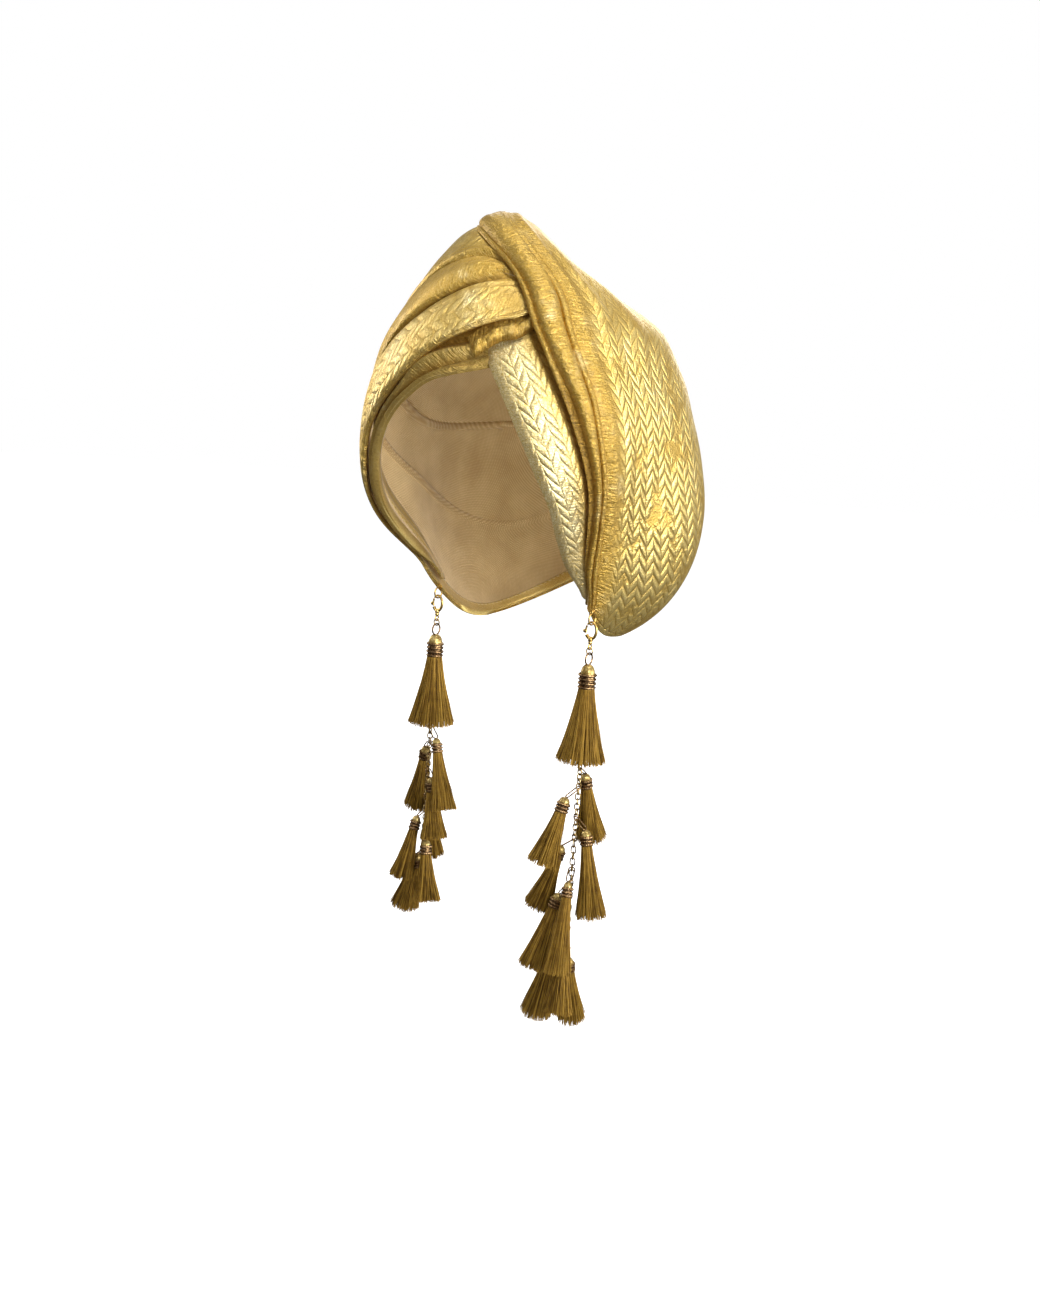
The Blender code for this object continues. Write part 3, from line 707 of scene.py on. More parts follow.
PLEATS = table(
    "at crease_low crease_high high nudge lift",
    (0.00, 0, 0, 0, 2.8, -4.4),
    (0.03, 0, 0, 0, 1.4, -3.4),
    (0.06, 0, 0, 0, 1.2, -1.6),
    (0.10, 0, 0, 0, 3.4, 0.4),
    (0.16, 0.3, 0, 0, 0.0, 1.4),
    (0.26, 0.7, 0, 0, 0.0, 1.5),
    (0.34, 1, 0, 0, -4.0, 0.2),
    (0.38, 1, 0, 0, -0.8, -2.4),
    (0.41, 1, 0, 0, 0.8, -4.2),
    (0.44, 1, 0, 0, 0.2, -2.2),
    (0.47, 1, 0, 0, 0.4, 0.4),
    (0.51, 0.82, 0.18, 0, 0.0, 2.2),
    (0.57, 0.45, 0.55, 0, 0.0, 2.6),
    (0.62, 0, 1, 0, -3.0, 1.0),
    (0.66, 0, 1, 0, -1.0, -1.6),
    (0.69, 0, 1, 0, 0.6, -4.2),
    (0.715, 0, 1, 0, -0.6, -1.6),
    (0.74, 0, 1, 0, -0.6, 0.7),
    (0.765, 0, 1, 0, 1.2, 1.9),
    (0.79, 0, 1, 0, 3.4, 0.9),
    (0.84, 0, 0.8, 0.2, 0.0, 1.4),
    (0.90, 0, 0.4, 0.6, 0.0, 1.0),
    (0.97, 0, 0.05, 0.95, 0.0, -1.6),
    (1.00, 0, 0, 1, 0.0, -3.4),
)
VALLEYS = table(
    "at crease_low crease_high high spread",
    (0.26, 0.7, 0, 0, 0),
    (0.34, 1, 0, 0, -3),
    (0.47, 1, 0, 0, 3),
    (0.55, 0.55, 0.45, 0, 0),
    (0.62, 0, 1, 0, -3),
    (0.79, 0, 1, 0, 3),
    (0.84, 0, 0.8, 0.2, 0),
)


def lines_of(row, weight):
    """The share of the way up that the weights give between the two creases and the high edge."""
    return sum(weight[n] * row[n] for n in ("crease_low", "crease_high")) + weight["high"]


def right_swathe_place(across, along):
    row = row_at(RIGHT_SWATHE, along)
    weight = {n: curve_through(PLEATS["at"], PLEATS[n], across) for n in list(PLEATS)[1:]}
    valley = {n: np.interp(across, VALLEYS["at"], VALLEYS[n]) for n in list(VALLEYS)[1:]}
    low, high = way_of(row, "low"), way_of(row, "high")
    width = angle_between(low, high) * form_radius(low)
    deep = row["depth"] / 5
    overhang = smooth(0.45, 0.9, deep) * smooth(0.16, 0.24, along)
    room = clamp((row["crease_high"] - row["crease_low"]) * width / 10)
    folded = lines_of(row, weight) + deep * weight["nudge"] / width
    opened = lines_of(row, valley) + room * valley["spread"] / width
    inner = (across >= 0.26) & (across <= 0.84)
    between = overhang * folded + (1 - overhang) * opened
    nudged = lines_of(row, weight) + overhang * deep * weight["nudge"] / width
    at_hem = lines_of(row, weight) + np.maximum(deep, 0.25) * weight["nudge"] / width
    share = np.where(across < 0.13, at_hem, np.where(inner, between, nudged))
    shoulder = 4.5 * smooth(0.13, 0.24, along) * fade(0.42, 0.62, along)
    lift = row["lift"] + deep * weight["lift"] - (4.8 - shoulder) * smooth(0.68, 0.88, share)
    long_folds = unevenness(across, along, 26, 9, 21)
    settled = fade(0.90, 1.0, along)
    lift += 0.45 * long_folds * smooth(0.05, 0.12, along) * settled
    lift += 0.9 * unevenness(across, along, 7, 6, 22) * smooth(0.45, 0.8, along) * settled
    gathers = unevenness(across, along, 44, 5, 23) * fade(0.12, 0.34, along)
    lift += 0.6 * gathers
    # Painted shade: the dips at the creases are marked to be darkened.
    hollow = fade(-3.6, -0.6, weight["lift"]) * smooth(0.2, 0.6, deep)
    way = great_circle(low, high, share)
    lift -= back_valley(row["low_az"])
    run = share * width
    away = smooth(0.03, 0.09, across) * fade(0.30, 0.38, across) + smooth(0.80, 0.88, across)
    away = np.maximum(away, smooth(0.62, 0.78, along))
    emboss = clamp(away) * 0.55 + 0.12
    emboss = emboss * (1 - 0.3 * fade(0.1, 0.3, along))
    middle_pleat = smooth(0.36, 0.44, across) * fade(0.66, 0.74, across)
    return laid(way, lift), run, {
        "emboss": clamp(emboss),
        "crumple": 0.55 + 0.4 * middle_pleat * fade(0.62, 0.78, along),
        # Painted highlight: the lower pleat is painted paler.
        "pale": 0.12 * fade(0.30, 0.40, across),
        "hollow": hollow * fade(0.88, 0.93, across),
    }


cloth("right_swathe", right_swathe_place, 140, 140, ("near", "far"))

# %% [markdown]
# ## The face bands and the tuck
#
# A flat band with a ridge runs down each side of the face, under the swathes. The right one is
# rolled double where it meets the knot. The ruched tuck crosses from the left roll down to the
# knot; its puckers are short waves across it.

# %% Lay the face bands and the knot tuck
BAND = "face_az face_el back_az back_el face_lift ridge_lift back_lift"
LEFT_FACE_BAND = table(
    BAND,
    (15, 36, 41, 52, -13.6, -12.6, -12.6),
    (19, 31.5, 44, 46, -10.8, -9.8, -9.8),
    (21, 28.5, 48, 37, -10.2, -8.8, -9.6),
    (27, 19, 54, 25, -10.0, -7.6, -9.6),
    (34, 6, 60, 11, -9.5, -6.8, -9.6),
    (40, -6, 66, -2, -9.5, -6.6, -9.6),
    (46, -17, 71, -16, -9.5, -6.8, -9.0),
    (53, -32, 75, -29, -9.5, -7.0, -8.0),
    (64, -46, 82, -43, -9.0, -6.6, -6.6),
    (82, -55.5, 92, -54, -7.0, -5.2, -5.2),
)
RIGHT_FACE_BAND = table(
    BAND,
    (24, 33, 29, 48, -13.8, -13.6, -13.6),
    (17.5, 31, 24, 47, -11.6, -11.4, -11.4),
    (5, 28, 2, 43, -11.0, -10.9, -10.9),
    (-5, 24.5, -14, 37, -9.6, -7.0, -6.4),
    (-14, 19, -27, 29, -9.2, -6.4, -5.9),
    (-22, 13, -37, 20, -9.2, -6.4, -5.9),
    (-28, 6, -44, 11, -9.2, -6.4, -5.9),
    (-33, -3, -50, 0, -9.2, -6.4, -5.9),
    (-37, -14, -55, -12, -9.2, -6.4, -5.9),
    (-43, -25, -61, -24, -9.2, -6.4, -5.9),
    (-52, -37, -70, -36, -9.0, -6.4, -5.9),
    (-65, -48, -82, -46, -8.0, -5.6, -5.0),
    (-82, -55.5, -94, -54, -6.0, -4.6, -4.5),
)
KNOT_TUCK = table(
    "low_az low_el high_az high_el swell",
    (42, 45, 40, 51.5, 2.0),
    (36, 42.5, 34, 49, 2.8),
    (30, 38.5, 29, 47, 4.0),
    (24, 37, 22, 44.5, 4.2),
    (19, 34, 15, 41, 3.8),
    (15, 31, 10, 37.5, 2.0),
)


def band_place(columns, grooves, embossed, puff, rolled=0.0):
    """A band between the face and the swathe, with grooves: (share across, depth in mm).

    puff fills it out, and rolled (a share of the width) turns its face border into a double roll.
    """

    def place(across, along):
        row = row_at(columns, along)
        ridge = 0.62
        across = across * (1 + rolled) - rolled
        rising = row["face_lift"] + (row["ridge_lift"] - row["face_lift"]) * np.sin(
            clamp(across / ridge) * pi / 2
        )
        falling = (row["back_lift"] - row["ridge_lift"]) * smooth(ridge, 0.8, across)
        lift = np.where(across < ridge, rising, row["ridge_lift"] + falling)
        lift -= 0.9 * fade(-rolled, 0.10 - rolled, across)
        groove = np.zeros_like(across)
        if rolled:
            full = smooth(0.08, 0.17, along) * fade(0.86, 0.98, along)
            open_by = fade(0.17, 0.38, along)
            place_2, wide_2 = 0.10 + 0.20 * open_by, 0.065 + 0.075 * open_by
            lift += full * 4.2 * bell(across + 0.50 * rolled, 0.052)
            lift += full * (4.2 + 1.8 * open_by) * bell(across - place_2, wide_2)
            groove = bell(across - place_2 / 2 + 0.25 * rolled, 0.024)
            lift -= 1.8 * full * groove
        filled = smooth(0.08, 0.22, along) * fade(0.85, 1.0, along)
        lift += puff * dome(clamp(across / 0.66)) * filled
        for share, groove_depth in grooves:
            lift -= groove_depth * bell(across - share, 0.035)
        gather = fade(0.05, 0.30, along)
        lift += 0.5 * gather * unevenness(across, along, 12, 8, 31)
        lift += 0.25 * unevenness(across, along, 4, 22, 32)
        low, high = way_of(row, "face"), way_of(row, "back")
        width = angle_between(low, high) * form_radius(low)
        return laid(great_circle(low, high, across), lift), across * width, {
            "emboss": embossed * smooth(0.06, 0.16, across) * (1 - 0.6 * gather),
            # Painted highlight: the band is painted paler towards its face border.
            "pale": 0.7 * embossed * fade(0.40, 0.75, across),
            "crumple": 0.35 + 0.65 * gather,
            # Painted shade: darkened where the band runs under the swathe, and in the groove of the double
            # roll.
            "hollow": clamp(smooth(0.62, 0.78, across) + 0.8 * groove),
        }

    return place


def tuck_place(across, along):
    row = row_at(KNOT_TUCK, along)
    puckers = 0.7 * np.sin(along * 9 * pi + 2.5 * across) + 0.8 * unevenness(across, along, 3, 22, 41)
    puckers += 0.5 * unevenness(across, along, 7, 10, 42)
    lift = -8.4 + (row["swell"] + puckers) * dome(np.minimum(across / 0.55, 1))
    way = great_circle(way_of(row, "low"), way_of(row, "high"), across)
    return laid(way, lift), across * 14, {
        "emboss": 0.1,
        "crumple": 1.0,
        # Painted shade: darkened along both borders, where the tuck goes under the cloth beside it.
        "hollow": 1 - smooth(0.0, 0.12, across) * fade(0.62, 0.8, across),
    }


cloth("left_face_band", band_place(LEFT_FACE_BAND, [(0.70, 0.6)], 0.75, 0.6), 44, 136)
cloth("right_face_band", band_place(RIGHT_FACE_BAND, [], 0.25, 0.0, 0.13), 44, 140)
cloth("knot_tuck", tuck_place, 34, 90)

# %% [markdown]
# ## Rings, clasps and levers
#
# Each corner of the headband has a ring sewn to it with a few turns of gold thread. A lobster
# clasp hooks the ring: a claw that thickens towards its barrel, a sprung lever that closes its
# mouth, and a small eye below. The claw is a curve whose radius grows along it, because a curve
# bends a round bar without any loss of roundness.

# %% Mix the polished gold
def metal(name, noise, edges, colours, roughness, relief, pits=0.0):
    """A metal with wear: one noise steers its colour, its roughness and a faint relief."""
    made, lay, sockets = finish_of(name, Metallic=1.0)
    here = lay.here()
    wear = lay.noise(here, *noise)
    feed(wear.between(*edges).blend(*colours), sockets["Base Color"])
    feed(roughness[0] + roughness[1] * wear, sockets["Roughness"])
    height = relief * wear
    if pits:
        height = pits * lay.noise(here, 2600.0) + height
    feed(bump(height), sockets["Normal"])
    return made


GOLDS = (0.70, 0.44, 0.10), (0.93, 0.70, 0.28)
PALE_GOLDS = (0.22, 0.13, 0.04), (0.80, 0.62, 0.30)
BRONZES = (0.14, 0.075, 0.03), (0.52, 0.34, 0.17)
bright_gold = metal("bright_gold", (700.0, 4.0), (0.35, 0.7), GOLDS, (0.24, 0.22), 0.05, 0.03)
pale_gold = metal("pale_gold", (420.0, 5.0), (0.38, 0.68), PALE_GOLDS, (0.28, 0.25), 0.05)
dark_wire = metal("dark_bronze_wire", (900.0, 4.0), (0.35, 0.7), BRONZES, (0.22, 0.3), 0.06)
print("metals mixed")

# %% Make wire helpers
RING_PLACE, RING_RADIUS, RING_WIRE = Vector((58.6, -2.8, -91.0)), 3.4, 0.5
HOOK_WIDE, HOOK_TALL, HOOK_WIRE, MOUTH = 3.6, 4.9, 0.75, (140.0, 215.0)
BARREL_TOP, BARREL_LONG = 7.8, 3.9
EYE_RADIUS, EYE_WIRE, LINK_RADIUS, LINK_WIRE = 1.6, 0.45, 2.1, 0.4
BAIL_RADIUS, BAIL_WIRE, GAP, CHAIN_RADIUS = 3.6, 0.45, 0.3, 1.2
CLAW_FLAT = 0.95  # how flat the claw is, front to back
FACING_X, FACING_Y = Matrix.Rotation(pi / 2, 4, "Y"), Matrix.Rotation(pi / 2, 4, "X")


def placed(x, y, z):
    return Matrix.Translation(Vector((x, y, z)) * MM)


def spin(bm, verts, edges, steps):
    bmesh.ops.spin(
        bm, geom=verts + edges, cent=(0, 0, 0), axis=(0, 0, 1), angle=2 * pi, steps=steps, use_merge=True
    )


def settle(bm, matrix):
    """Moves what was last made to its place, and tags it as done."""
    loose = [vert for vert in bm.verts if not vert.tag]
    bmesh.ops.transform(bm, matrix=matrix, verts=loose)
    for vert in loose:
        vert.tag = True


def add_ring(bm, radius, wire, matrix, around, sides, stretch=1.0):
    """Spins a circle of wire once round to a ring in the mesh; stretch makes it a long link."""
    made = bmesh.ops.create_circle(
        bm, segments=sides, radius=wire * MM, matrix=placed(radius, 0, 0) @ FACING_Y
    )["verts"]
    spin(bm, made, list({edge for vert in made for edge in vert.link_edges}), around)
    for vert in bm.verts:
        if not vert.tag and abs(vert.co.y) > 1e-7:
            vert.co.y += (stretch - 1) * radius * MM * (1 if vert.co.y > 0 else -1)
    settle(bm, matrix)


def add_turning(bm, profile, matrix, around=24):
    """Spins a profile of (radius, height) in mm round the Z axis, closed at both ends."""
    made = [bm.verts.new((radius * MM, 0, height * MM)) for radius, height in profile]
    spin(bm, made, [bm.edges.new(pair) for pair in zip(made, made[1:])], around)
    loose = [vert for vert in bm.verts if not vert.tag]
    bmesh.ops.remove_doubles(bm, verts=loose, dist=1e-7)
    settle(bm, matrix)


def bar_mesh(paths, radii, depth, sides):
    """A mesh of bars along paths in mm, from a curve: depth times the radii is their thickness."""
    curve = bpy.data.curves.new("bars", "CURVE")
    curve.dimensions, curve.bevel_resolution, curve.use_fill_caps = "3D", sides, True
    curve.bevel_depth = depth * MM
    for path in paths:
        spline = curve.splines.new("POLY")
        spline.points.add(len(path) - 1)
        knots = np.concatenate([path * MM, np.ones((len(path), 1))], axis=1)
        spline.points.foreach_set("co", knots.ravel())
        spline.points.foreach_set("radius", radii)
    guide = shown("bars", curve)
    bpy.context.view_layer.update()
    mesh = bpy.data.meshes.new_from_object(guide)
    bpy.data.objects.remove(guide)
    return mesh


def add_bar(bm, points, radii, sides):
    """A round bar through points in mm, with its own radius at each."""
    mesh = bar_mesh([np.array(points)], radii, 1, sides)
    bm.from_mesh(mesh)
    bpy.data.meshes.remove(mesh)
    loose = [vert for vert in bm.verts if not vert.tag]
    bmesh.ops.remove_doubles(bm, verts=loose, dist=1e-6)
    settle(bm, Matrix.Identity(4))


def piece_from(bm, name, body, finishes, slot, *nodes):
    """Turns the mesh into a piece at the origin, riding on a body in place of its nodes."""
    bmesh.ops.recalc_face_normals(bm, faces=bm.faces)
    mesh = bpy.data.meshes.new(name)
    bm.to_mesh(mesh)
    bm.free()
    mesh.shade_smooth()
    mesh.set_sharp_from_angle(angle=radians(50))
    for finish in finishes:
        mesh.materials.append(finish)
    obj = shown(name, mesh)
    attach(obj, body)
    if nodes:
        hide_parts(*nodes)
    return obj


def claw_point(angle):
    """The claw's centreline below the ring's wire, in mm, at an angle in degrees from +X."""
    centre = RING_WIRE + GAP + HOOK_WIRE - HOOK_TALL
    return Vector((HOOK_WIDE * cos(radians(angle)), 0, centre + HOOK_TALL * sin(radians(angle))))


def ring_centre(side):
    return Vector((RING_PLACE.x * (1 if side == "left" else -1), RING_PLACE.y, RING_PLACE.z))


def wire_point(side):
    """The lowest point of a corner's ring, where its drop hangs."""
    return ring_centre(side) - Vector((0, 0, RING_RADIUS))


EYE_HEIGHT = -BARREL_TOP - BARREL_LONG - EYE_RADIUS + 0.1
LINK_TOP = EYE_HEIGHT - EYE_RADIUS + EYE_WIRE + LINK_WIRE + GAP
BAIL_TOP = LINK_TOP - 2 * LINK_RADIUS + LINK_WIRE + BAIL_WIRE + GAP
HEAD_TOP = BAIL_TOP - 2 * BAIL_RADIUS + 0.4
print("eye", round(EYE_HEIGHT, 2), "head top", round(HEAD_TOP, 2))

# %% Make the rings, clasps, levers and links
for side in ("left", "right"):
    centre = ring_centre(side)
    at = placed(*wire_point(side))

    ring = bmesh.new()
    add_ring(ring, RING_RADIUS, RING_WIRE, placed(*centre) @ FACING_X, 48, 14)
    piece_from(ring, f"{side}_corner_ring", "headband", [bright_gold], "bright_gold", f"{side}_sewn_ring")

    thread = bmesh.new()
    for turn in range(5):
        lean = radians(-16 + 8 * turn)
        inward = -0.25 if side == "left" else 0.25
        off = Vector((inward, sin(lean) * RING_RADIUS, cos(lean) * RING_RADIUS + 0.9))
        tilt = Matrix.Rotation(lean, 4, "X") @ FACING_Y @ Matrix.Rotation(0.2 * (turn - 2), 4, "Y")
        add_ring(thread, 1.0, 0.2, placed(*(centre + off)) @ tilt, 18, 6, 1.35)
    piece_from(thread, f"{side}_ring_stitches", "headband", [bright_gold], "gold_cloth")

    claw = bmesh.new()
    angles = np.linspace(MOUTH[0], MOUTH[1] - 360, 34)
    grown = np.linspace(0, 1, 34)
    radii = 0.55 + 0.30 * np.sin(clamp(grown * 1.6) * pi / 2) + 0.25 * grown**4
    add_bar(claw, [claw_point(a) for a in angles], radii, 5)
    for vert in claw.verts:
        vert.co.y *= CLAW_FLAT
    barrel = [
        (0, 0.9), (0.9, 0.8), (1.3, 0.2), (1.5, -0.8), (1.5, -1.6), (1.15, -1.9),
        (1.15, -2.2), (1.35, -2.5), (1.2, -3.3), (0.8, -3.9), (0, -4.0),
    ]
    add_turning(claw, [(r, z - BARREL_TOP) for r, z in barrel], Matrix.Identity(4))
    add_ring(claw, EYE_RADIUS, EYE_WIRE, placed(0, 0, EYE_HEIGHT) @ FACING_X, 30, 10)
    bmesh.ops.transform(claw, matrix=at, verts=claw.verts)
    piece_from(claw, f"{side}_lobster_claw", f"{side}_drop", [bright_gold], "bright_gold", f"{side}_clasp")

    lever = bmesh.new()
    margin = degrees((GAP + HOOK_WIRE * 0.4) / HOOK_WIDE)
    angles = np.linspace(MOUTH[0] + margin, MOUTH[1] - margin, 16)
    add_bar(lever, [claw_point(a) for a in angles], np.full(16, HOOK_WIRE * 0.8), 4)
    nub = claw_point(MOUTH[1] - 26) + Vector((-0.9, 0, 0))
    button = [(0, 0.55), (0.7, 0.5), (1.05, 0.3), (1.15, 0), (1.05, -0.3), (0.7, -0.5), (0, -0.55)]
    add_turning(lever, button, placed(*nub) @ FACING_Y, 18)
    bmesh.ops.transform(lever, matrix=at, verts=lever.verts)
    piece_from(
        lever, f"{side}_sprung_lever", f"{side}_lever", [bright_gold], "bright_gold", f"{side}_clasp_lever"
    )

    link = bmesh.new()
    add_ring(link, LINK_RADIUS, LINK_WIRE, at @ placed(0, 0, LINK_TOP - LINK_RADIUS) @ FACING_Y, 32, 10)
    piece_from(link, f"{side}_jump_ring", f"{side}_drop", [pale_gold], "pale_gold", f"{side}_link")
print("rings and clasps made")

# %% [markdown]
# ## Silk and tassels
#
# A tassel is a bundle of silk floss: it is bent over a wire bail, bound with a few turns of beaded
# wire, and cut level at the foot. A plain cone would look like plastic, so each skirt is made of
# hundreds of separate strands over a core painted in the darkest silk as shade deep in the skirt.
# A strand is one spline of a curve with a small bevel, and every strand keeps its own tone, so the
# skirt shows streaks of light and dark silk.

# %% Mix the silk
silk, lay, sockets = finish_of("bronze_silk", Roughness=0.45, Metallic=0.4, Specular_IOR_Level=0.15)
tone, down = lay.attribute("tone"), lay.attribute("down")
slub = lay.noise(lay.here(), 260.0, 3.0)
mixed = (0.65 * tone + 0.35 * slub + 0.12 * down).between(0.10, 0.95)
silk_tones = [(0.0, (0.036, 0.015, 0.002)), (0.45, (0.14, 0.072, 0.007)), (1.0, (0.40, 0.24, 0.042))]
feed(mixed.node("ShaderNodeValToRGB", {"stops": silk_tones}, {0: mixed}), sockets["Base Color"])
feed(0.36 + 0.25 * slub, sockets["Roughness"])
feed(bump(0.08 * slub), sockets["Normal"])

silk_head, lay, sockets = finish_of("gold_silk_head", Roughness=0.32, Metallic=0.6, Specular_IOR_Level=0.3)
here = lay.here()
strands, lustre = lay.noise(here, 900.0, 3.0), lay.noise(here, 200.0)
lit = (0.5 * strands + 0.5 * lustre).between(0.3, 0.7)
feed(lit.blend((0.20, 0.12, 0.025), (0.62, 0.47, 0.18)), sockets["Base Color"])
feed(bump(0.12 * strands), sockets["Normal"])
print("silk mixed")

# %% Make one tassel
Hung = namedtuple("Hung", "below turn reach lean skirt foot")
BAIL_TILT = radians(35)
LOCKS, STRAND = 13, 0.175  # a skirt's locks, and a strand's radius in mm
FLUTES, BEADS, BEADED_WIRE, THIN_ROW = 20, 24, 0.85, 0.62 / 0.74
FIRST_BAIL, THIN_BAIL, NARROW_BAIL = 0.52, 0.42, 1.9


def strand_paths(count, neck, root, skirt, foot, seed, hollow):
    """Arrays (strand, point, xyz) in mm of strands that spring from the neck and hang to the foot."""
    pick = np.random.default_rng(seed)
    t = np.linspace(0, 1, 6)[None, :]
    turn = pick.uniform(0, 2 * pi, count)[:, None]
    shell = (1 - 0.55 * pick.uniform(0, 1, count) ** 2.2)[:, None]
    if hollow:
        shell = (1 - 0.22 * pick.uniform(0, 1, count) ** 1.5)[:, None]
    lock = 2 * pi / LOCKS
    to_lock = (np.floor(turn / lock) + 0.5) * lock - turn
    turn = turn + to_lock * 0.16 * t**1.2 + pick.normal(0, 0.07, count)[:, None] * t
    wide = root + (foot - root) * (0.62 * t + 0.38 * t**2) + pick.normal(0, 0.55, count)[:, None] * t**1.5
    wide = wide * (1 - 0.035 * np.cos(to_lock / lock * 2 * pi) * t * 0.5)
    wave = 0.35 * np.sin(t * pick.uniform(3, 7, count)[:, None] + pick.uniform(0, 6, count)[:, None]) * t
    radius = shell * (wide + wave)
    shorter = 0.07 * pick.uniform(0, 1, count) ** 2 + 0.03 * pick.uniform(0, 1, count)
    length = skirt * (1.01 - shorter)[:, None]
    droop = length * (t - 0.05 * (1 - shell) * t)
    return np.stack([radius * np.cos(turn), radius * np.sin(turn), neck + 1.0 - (droop + 1.0 * t)], axis=2)


def paint_new(bm, old, index):
    """Gives the faces made since the mesh had only the old points another of its finishes."""
    for face in bm.faces:
        if any(vert not in old for vert in face.verts):
            face.material_index = index


def make_tassel(side, number, matrix, head, wrap, skirt, foot, bail, bail_matrix, count, seed):
    """A whole tassel: head, wire wrap, bail and core in one mesh, with the strands joined to it.

    head and wrap are a radius and a height in mm. The first tassel is large, and hollow for the chain.
    """
    node, hollow = f"{side}_tassel_{number:02d}", number == 1
    head_radius, head_tall = head
    wrap_radius, wrap_tall = wrap
    neck = -head_tall - wrap_tall
    bm = bmesh.new()
    curve = [(0, 0.15)]
    curve += [(head_radius * sin(a) ** 0.8, -head_tall * (1 - cos(a))) for a in np.linspace(0.2, pi / 2, 9)]
    narrowing = [(0.86, -head_tall - 0.4), (0.82, neck + 0.3), (0.8, neck)]
    curve += [(wrap_radius * share, height) for share, height in narrowing]
    core = [(0.6, 0.6), (0.72, 0.93), (0.55, 0.9)] if hollow else [(0.62, 0.6), (0.74, 0.93), (0, 0.90)]
    curve += [(foot * share, neck - skirt * down) for share, down in core]
    if hollow:
        curve += [(wrap_radius * 0.5, neck - 3.0), (0, neck - 2.0)]
    add_turning(bm, curve, Matrix.Identity(4), 26)
    for face in bm.faces:
        level = face.calc_center_median().z / MM
        face.material_index = 0 if level < neck else 1 if level > -head_tall - 0.2 else 2
    for vert in bm.verts:
        if vert.co.z > -head_tall * MM:
            vert.co.xy *= 1 + 0.035 * cos(FLUTES * atan2(vert.co.y, vert.co.x))
    rows = max(3, round(wrap_tall / 2.0))
    round_at = wrap_radius * 0.88
    for k in range(rows):
        height = -head_tall - 0.7 - (wrap_tall - 1.2) * k / (rows - 1)
        old = set(bm.verts)
        add_ring(bm, round_at, BEADED_WIRE, placed(0, 0, height), 48, 8)
        for vert in set(bm.verts) - old:
            turn = atan2(vert.co.y, vert.co.x)
            out = vert.co.xy.length / MM - round_at
            swell = 1 + 0.30 * cos(BEADS * turn + 2.0 * atan2(vert.co.z / MM - height, out))
            shape = Vector((out, vert.co.z / MM - height)) * (THIN_ROW if k % 2 else 1) * swell
            vert.co.xy = vert.co.xy.normalized() * (round_at + shape.x) * MM
            vert.co.z = (height + shape.y) * MM
        paint_new(bm, old, 2)
    bmesh.ops.transform(bm, matrix=matrix, verts=bm.verts)
    old = set(bm.verts)
    if hollow:
        add_ring(bm, bail, FIRST_BAIL, bail_matrix, 36, 8)
    else:
        narrow = min(bail, NARROW_BAIL)
        add_ring(bm, narrow, THIN_BAIL, bail_matrix, 36, 8, bail / narrow)
    paint_new(bm, old, 2)
    finishes = [silk, silk_head, dark_wire]
    obj = piece_from(bm, f"{node}_silk", f"{side}_drop", finishes, "bronze_silk", node)
    # The core and the rest of the body's silk take the darkest tone: painted shade deep inside the skirt.
    attribute_of(obj.data, "tone", np.zeros(len(obj.data.vertices)))
    attribute_of(obj.data, "down", np.zeros(len(obj.data.vertices)))

    paths = strand_paths(count, neck, wrap_radius * 0.85, skirt, foot * 1.02, seed, hollow)
    shades = np.random.default_rng(seed + 1).uniform(0, 1, count)
    locks = np.random.default_rng(seed + 2).uniform(-0.2, 0.2, LOCKS + 1)
    lock_of = (np.arctan2(paths[:, 0, 1], paths[:, 0, 0]) % (2 * pi) / (2 * pi) * LOCKS).astype(int)
    shades = clamp(0.1 + 0.8 * shades + locks[lock_of])
    mesh = bar_mesh(paths, np.linspace(1.0, 0.75, paths.shape[1]), STRAND, 0)
    mesh.transform(matrix)
    each = len(mesh.vertices) // count
    attribute_of(mesh, "tone", np.repeat(shades, each))
    down = np.array([vert.co for vert in mesh.vertices])
    attribute_of(mesh, "down", clamp((matrix.translation.z - down[:, 2]) / ((skirt - neck) * MM)))
    mesh.materials.append(silk)
    mesh.shade_smooth()
    strands = shown(f"{node}_strands", mesh)
    with bpy.context.temp_override(active_object=obj, selected_editable_objects=[obj, strands]):
        bpy.ops.object.join()


print("tassel maker ready")

# %% [markdown]
# ## The two drops
#
# Each drop hangs from its clasp: a large hollow tassel first, then a chain that starts inside it,
# with smaller tassels ringed to its links at different heights. Their table is the solids' own.

# %% Hang the tassels
LEFT_DROP = [
    Hung(*row)
    for row in (
        (86, 174, 5.2, 15, 36, 8.5),
        (98, -36, 7.5, 16, 34, 9.0),
        (117, 92, 7.4, 9, 45, 8.2),
        (130, -80, 7.8, 17, 35, 8.2),
        (149, 22, 7.3, 18, 46, 7.3),
        (159, -39, 7.0, 16, 40, 8.4),
        (191, -84, 7.6, 11, 44, 9.0),
        (186, 26, 7.4, 14, 35, 8.5),
        (204, -172, 6.0, 14, 37, 8.1),
    )
]
RIGHT_DROP = [
    Hung(*row)
    for row in (
        (84, 72, 7.7, 17, 38, 7.7),
        (94, -122, 6.2, 15, 37, 8.6),
        (113, 69, 5.0, 12, 31, 8.1),
        (130, -163, 5.0, 14, 34, 7.4),
        (140, -36, 5.3, 12, 34, 7.5),
        (155, 54, 5.5, 16, 31, 8.6),
        (168, -100, 5.6, 15, 32, 9.0),
    )
]
FIRST_HEAD, FIRST_WRAP, FIRST_SKIRT, FIRST_FOOT = (4.4, 5.6), (5.3, 8.6), 45.0, 14.0
HEAD, WRAP, WIDEST_FOOT = (3.3, 3.6), (3.9, 5.4), 9.0  # of a small tassel with the widest foot
SMALL_BAIL = 0.35  # the wire of a small bail in the solids
THREAD = 0.9  # how far past the chain's middle a bail's wire passes, through a link


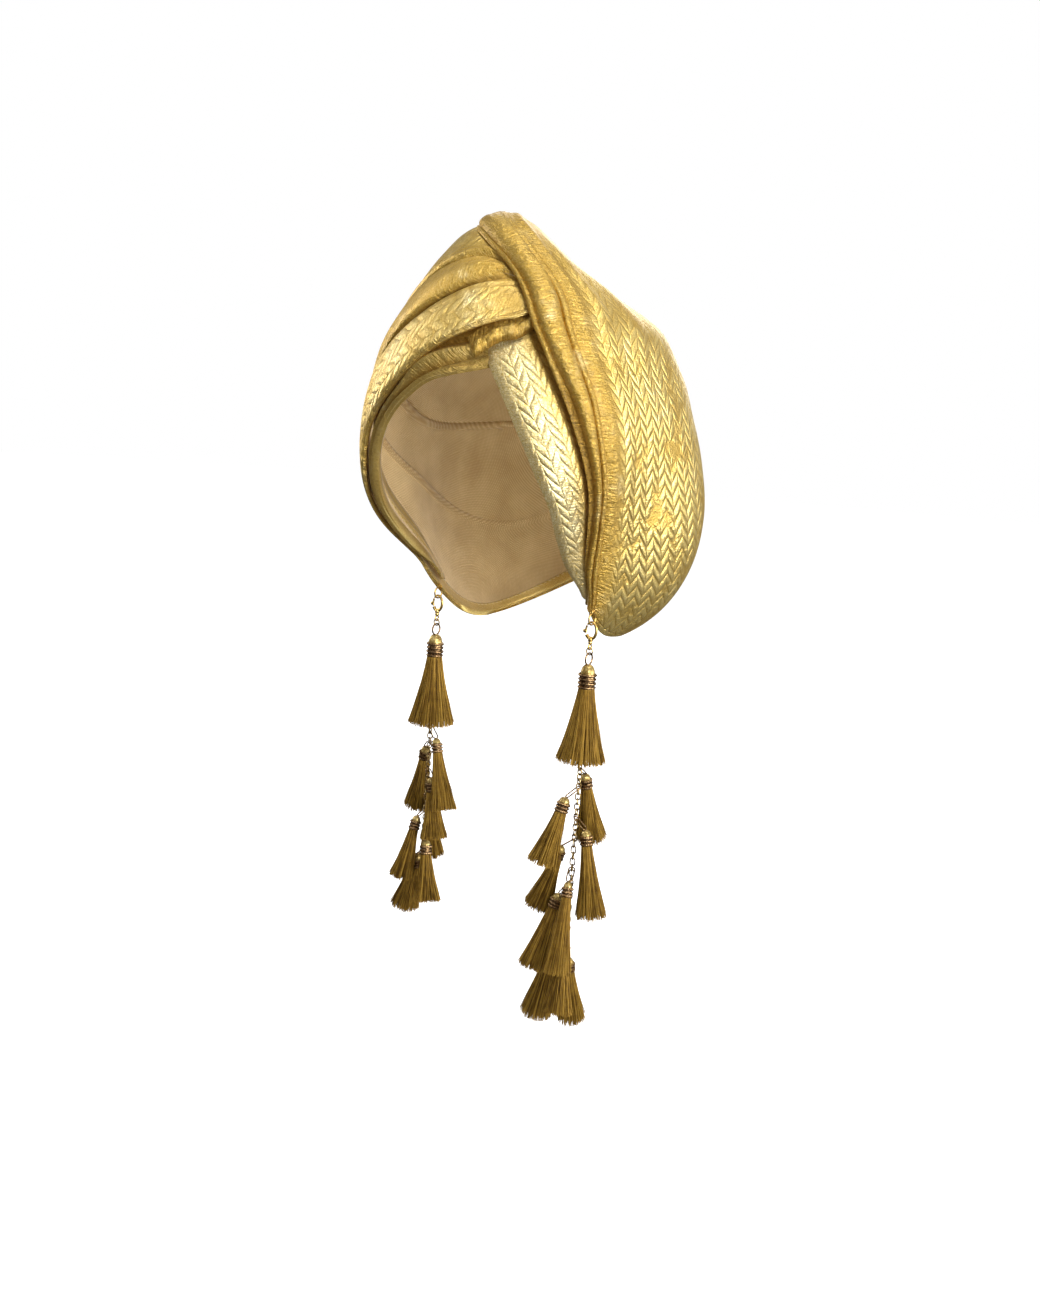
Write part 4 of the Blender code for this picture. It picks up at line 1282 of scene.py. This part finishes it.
def turned_to(outward, angle):
    """A turn that tips the Z axis by an angle towards outward."""
    axis = Vector((0, 0, 1)) * cos(angle) + outward * sin(angle)
    across_it = outward.cross(axis).normalized()
    return Matrix((across_it, axis.cross(across_it).normalized(), axis)).transposed().to_4x4()


def heading(azimuth):
    return Vector((sin(radians(azimuth)), -cos(radians(azimuth)), 0))


for side, rows in (("left", LEFT_DROP), ("right", RIGHT_DROP)):
    wire = wire_point(side)
    at = placed(*wire)
    many = 880
    make_tassel(
        side, 1, at @ placed(0, 0, HEAD_TOP), FIRST_HEAD, FIRST_WRAP, FIRST_SKIRT, FIRST_FOOT, BAIL_RADIUS,
        at @ placed(0, 0, BAIL_TOP - BAIL_RADIUS) @ FACING_X, round(many * 1.5),
        100 if side == "left" else 200,
    )
    for number, row in enumerate(rows, start=2):
        outward = heading(row.turn)
        bail = (row.reach + CHAIN_RADIUS + GAP + SMALL_BAIL * cos(BAIL_TILT)) / (2 * cos(BAIL_TILT))
        drop_by = 2 * bail * sin(BAIL_TILT)
        top = wire + outward * row.reach - Vector((0, 0, row.below + drop_by))
        middle = wire + outward * (row.reach - THREAD) / 2 - Vector((0, 0, row.below + drop_by / 2))
        length = row.reach + THREAD
        small = row.foot / WIDEST_FOOT
        make_tassel(
            side, number, placed(*top) @ turned_to(outward, -radians(row.lean)),
            (HEAD[0] * small, HEAD[1]), (WRAP[0] * small, WRAP[1]), row.skirt, row.foot,
            sqrt(length**2 + drop_by**2) / 2, placed(*middle) @ turned_to(outward, atan2(drop_by, length)),
            many, 300 + 10 * number + (0 if side == "left" else 500),
        )
    print(side, "drop:", len(rows) + 1, "tassels")

# %% [markdown]
# The chain is a cable chain of wire links, each turned a quarter from the next. Its links are
# spaced so that one lies at the height of every bail, and the chain twists a little on its way
# down so that the bail's wire runs through that link's hole.

# %% Link the chains
LINK_PITCH, CHAIN_LINK, CHAIN_WIRE = 3.2, 1.5, 0.42
for side, rows in (("left", LEFT_DROP), ("right", RIGHT_DROP)):
    wire = wire_point(side)
    start = -(HEAD_TOP - FIRST_HEAD[1] - FIRST_WRAP[1] - 2.0 - GAP) + 1.6
    stops = sorted((row.below, row.turn) for row in rows)
    depths, turns = [start], [0.0]
    for below, turn in stops:
        count = max(1, round((below - depths[-1]) / LINK_PITCH))
        wanted = turns[-1] + 90 * count
        nearest = turn + 180 * round((wanted - turn) / 180)
        fewer = max(1, count - 1)
        other = turn + 180 * round((turns[-1] + 90 * fewer - turn) / 180)
        if abs(other - turns[-1] - 90 * fewer) < abs(nearest - wanted) - 20 and count > 3:
            count, nearest = fewer, other
        step_down, step_round = (below - depths[-1]) / count, (nearest - turns[-1]) / count
        last_depth, last_turn = depths[-1], turns[-1]
        for k in range(1, count + 1):
            depths.append(last_depth + step_down * k)
            turns.append(last_turn + step_round * k)
    depths.append(depths[-1] + LINK_PITCH)
    turns.append(turns[-1] + 90)
    gaps = np.diff(depths)
    half = (np.append(gaps, gaps[-1]) + np.append(gaps[0], gaps)) / 4 + CHAIN_WIRE
    chain = bmesh.new()
    for depth_mm, turn, tall in zip(depths, turns, half):
        facing = Matrix.Rotation(radians(turn), 4, "Z") @ FACING_X @ Matrix.Rotation(pi / 2, 4, "Z")
        matrix = placed(*(wire - Vector((0, 0, depth_mm)))) @ facing
        add_ring(chain, CHAIN_LINK, CHAIN_WIRE, matrix, 16, 8, tall / CHAIN_LINK)
    piece_from(chain, f"{side}_chain_links", f"{side}_drop", [pale_gold], "pale_gold", f"{side}_chain")
    print(side, "chain:", len(depths), "links")
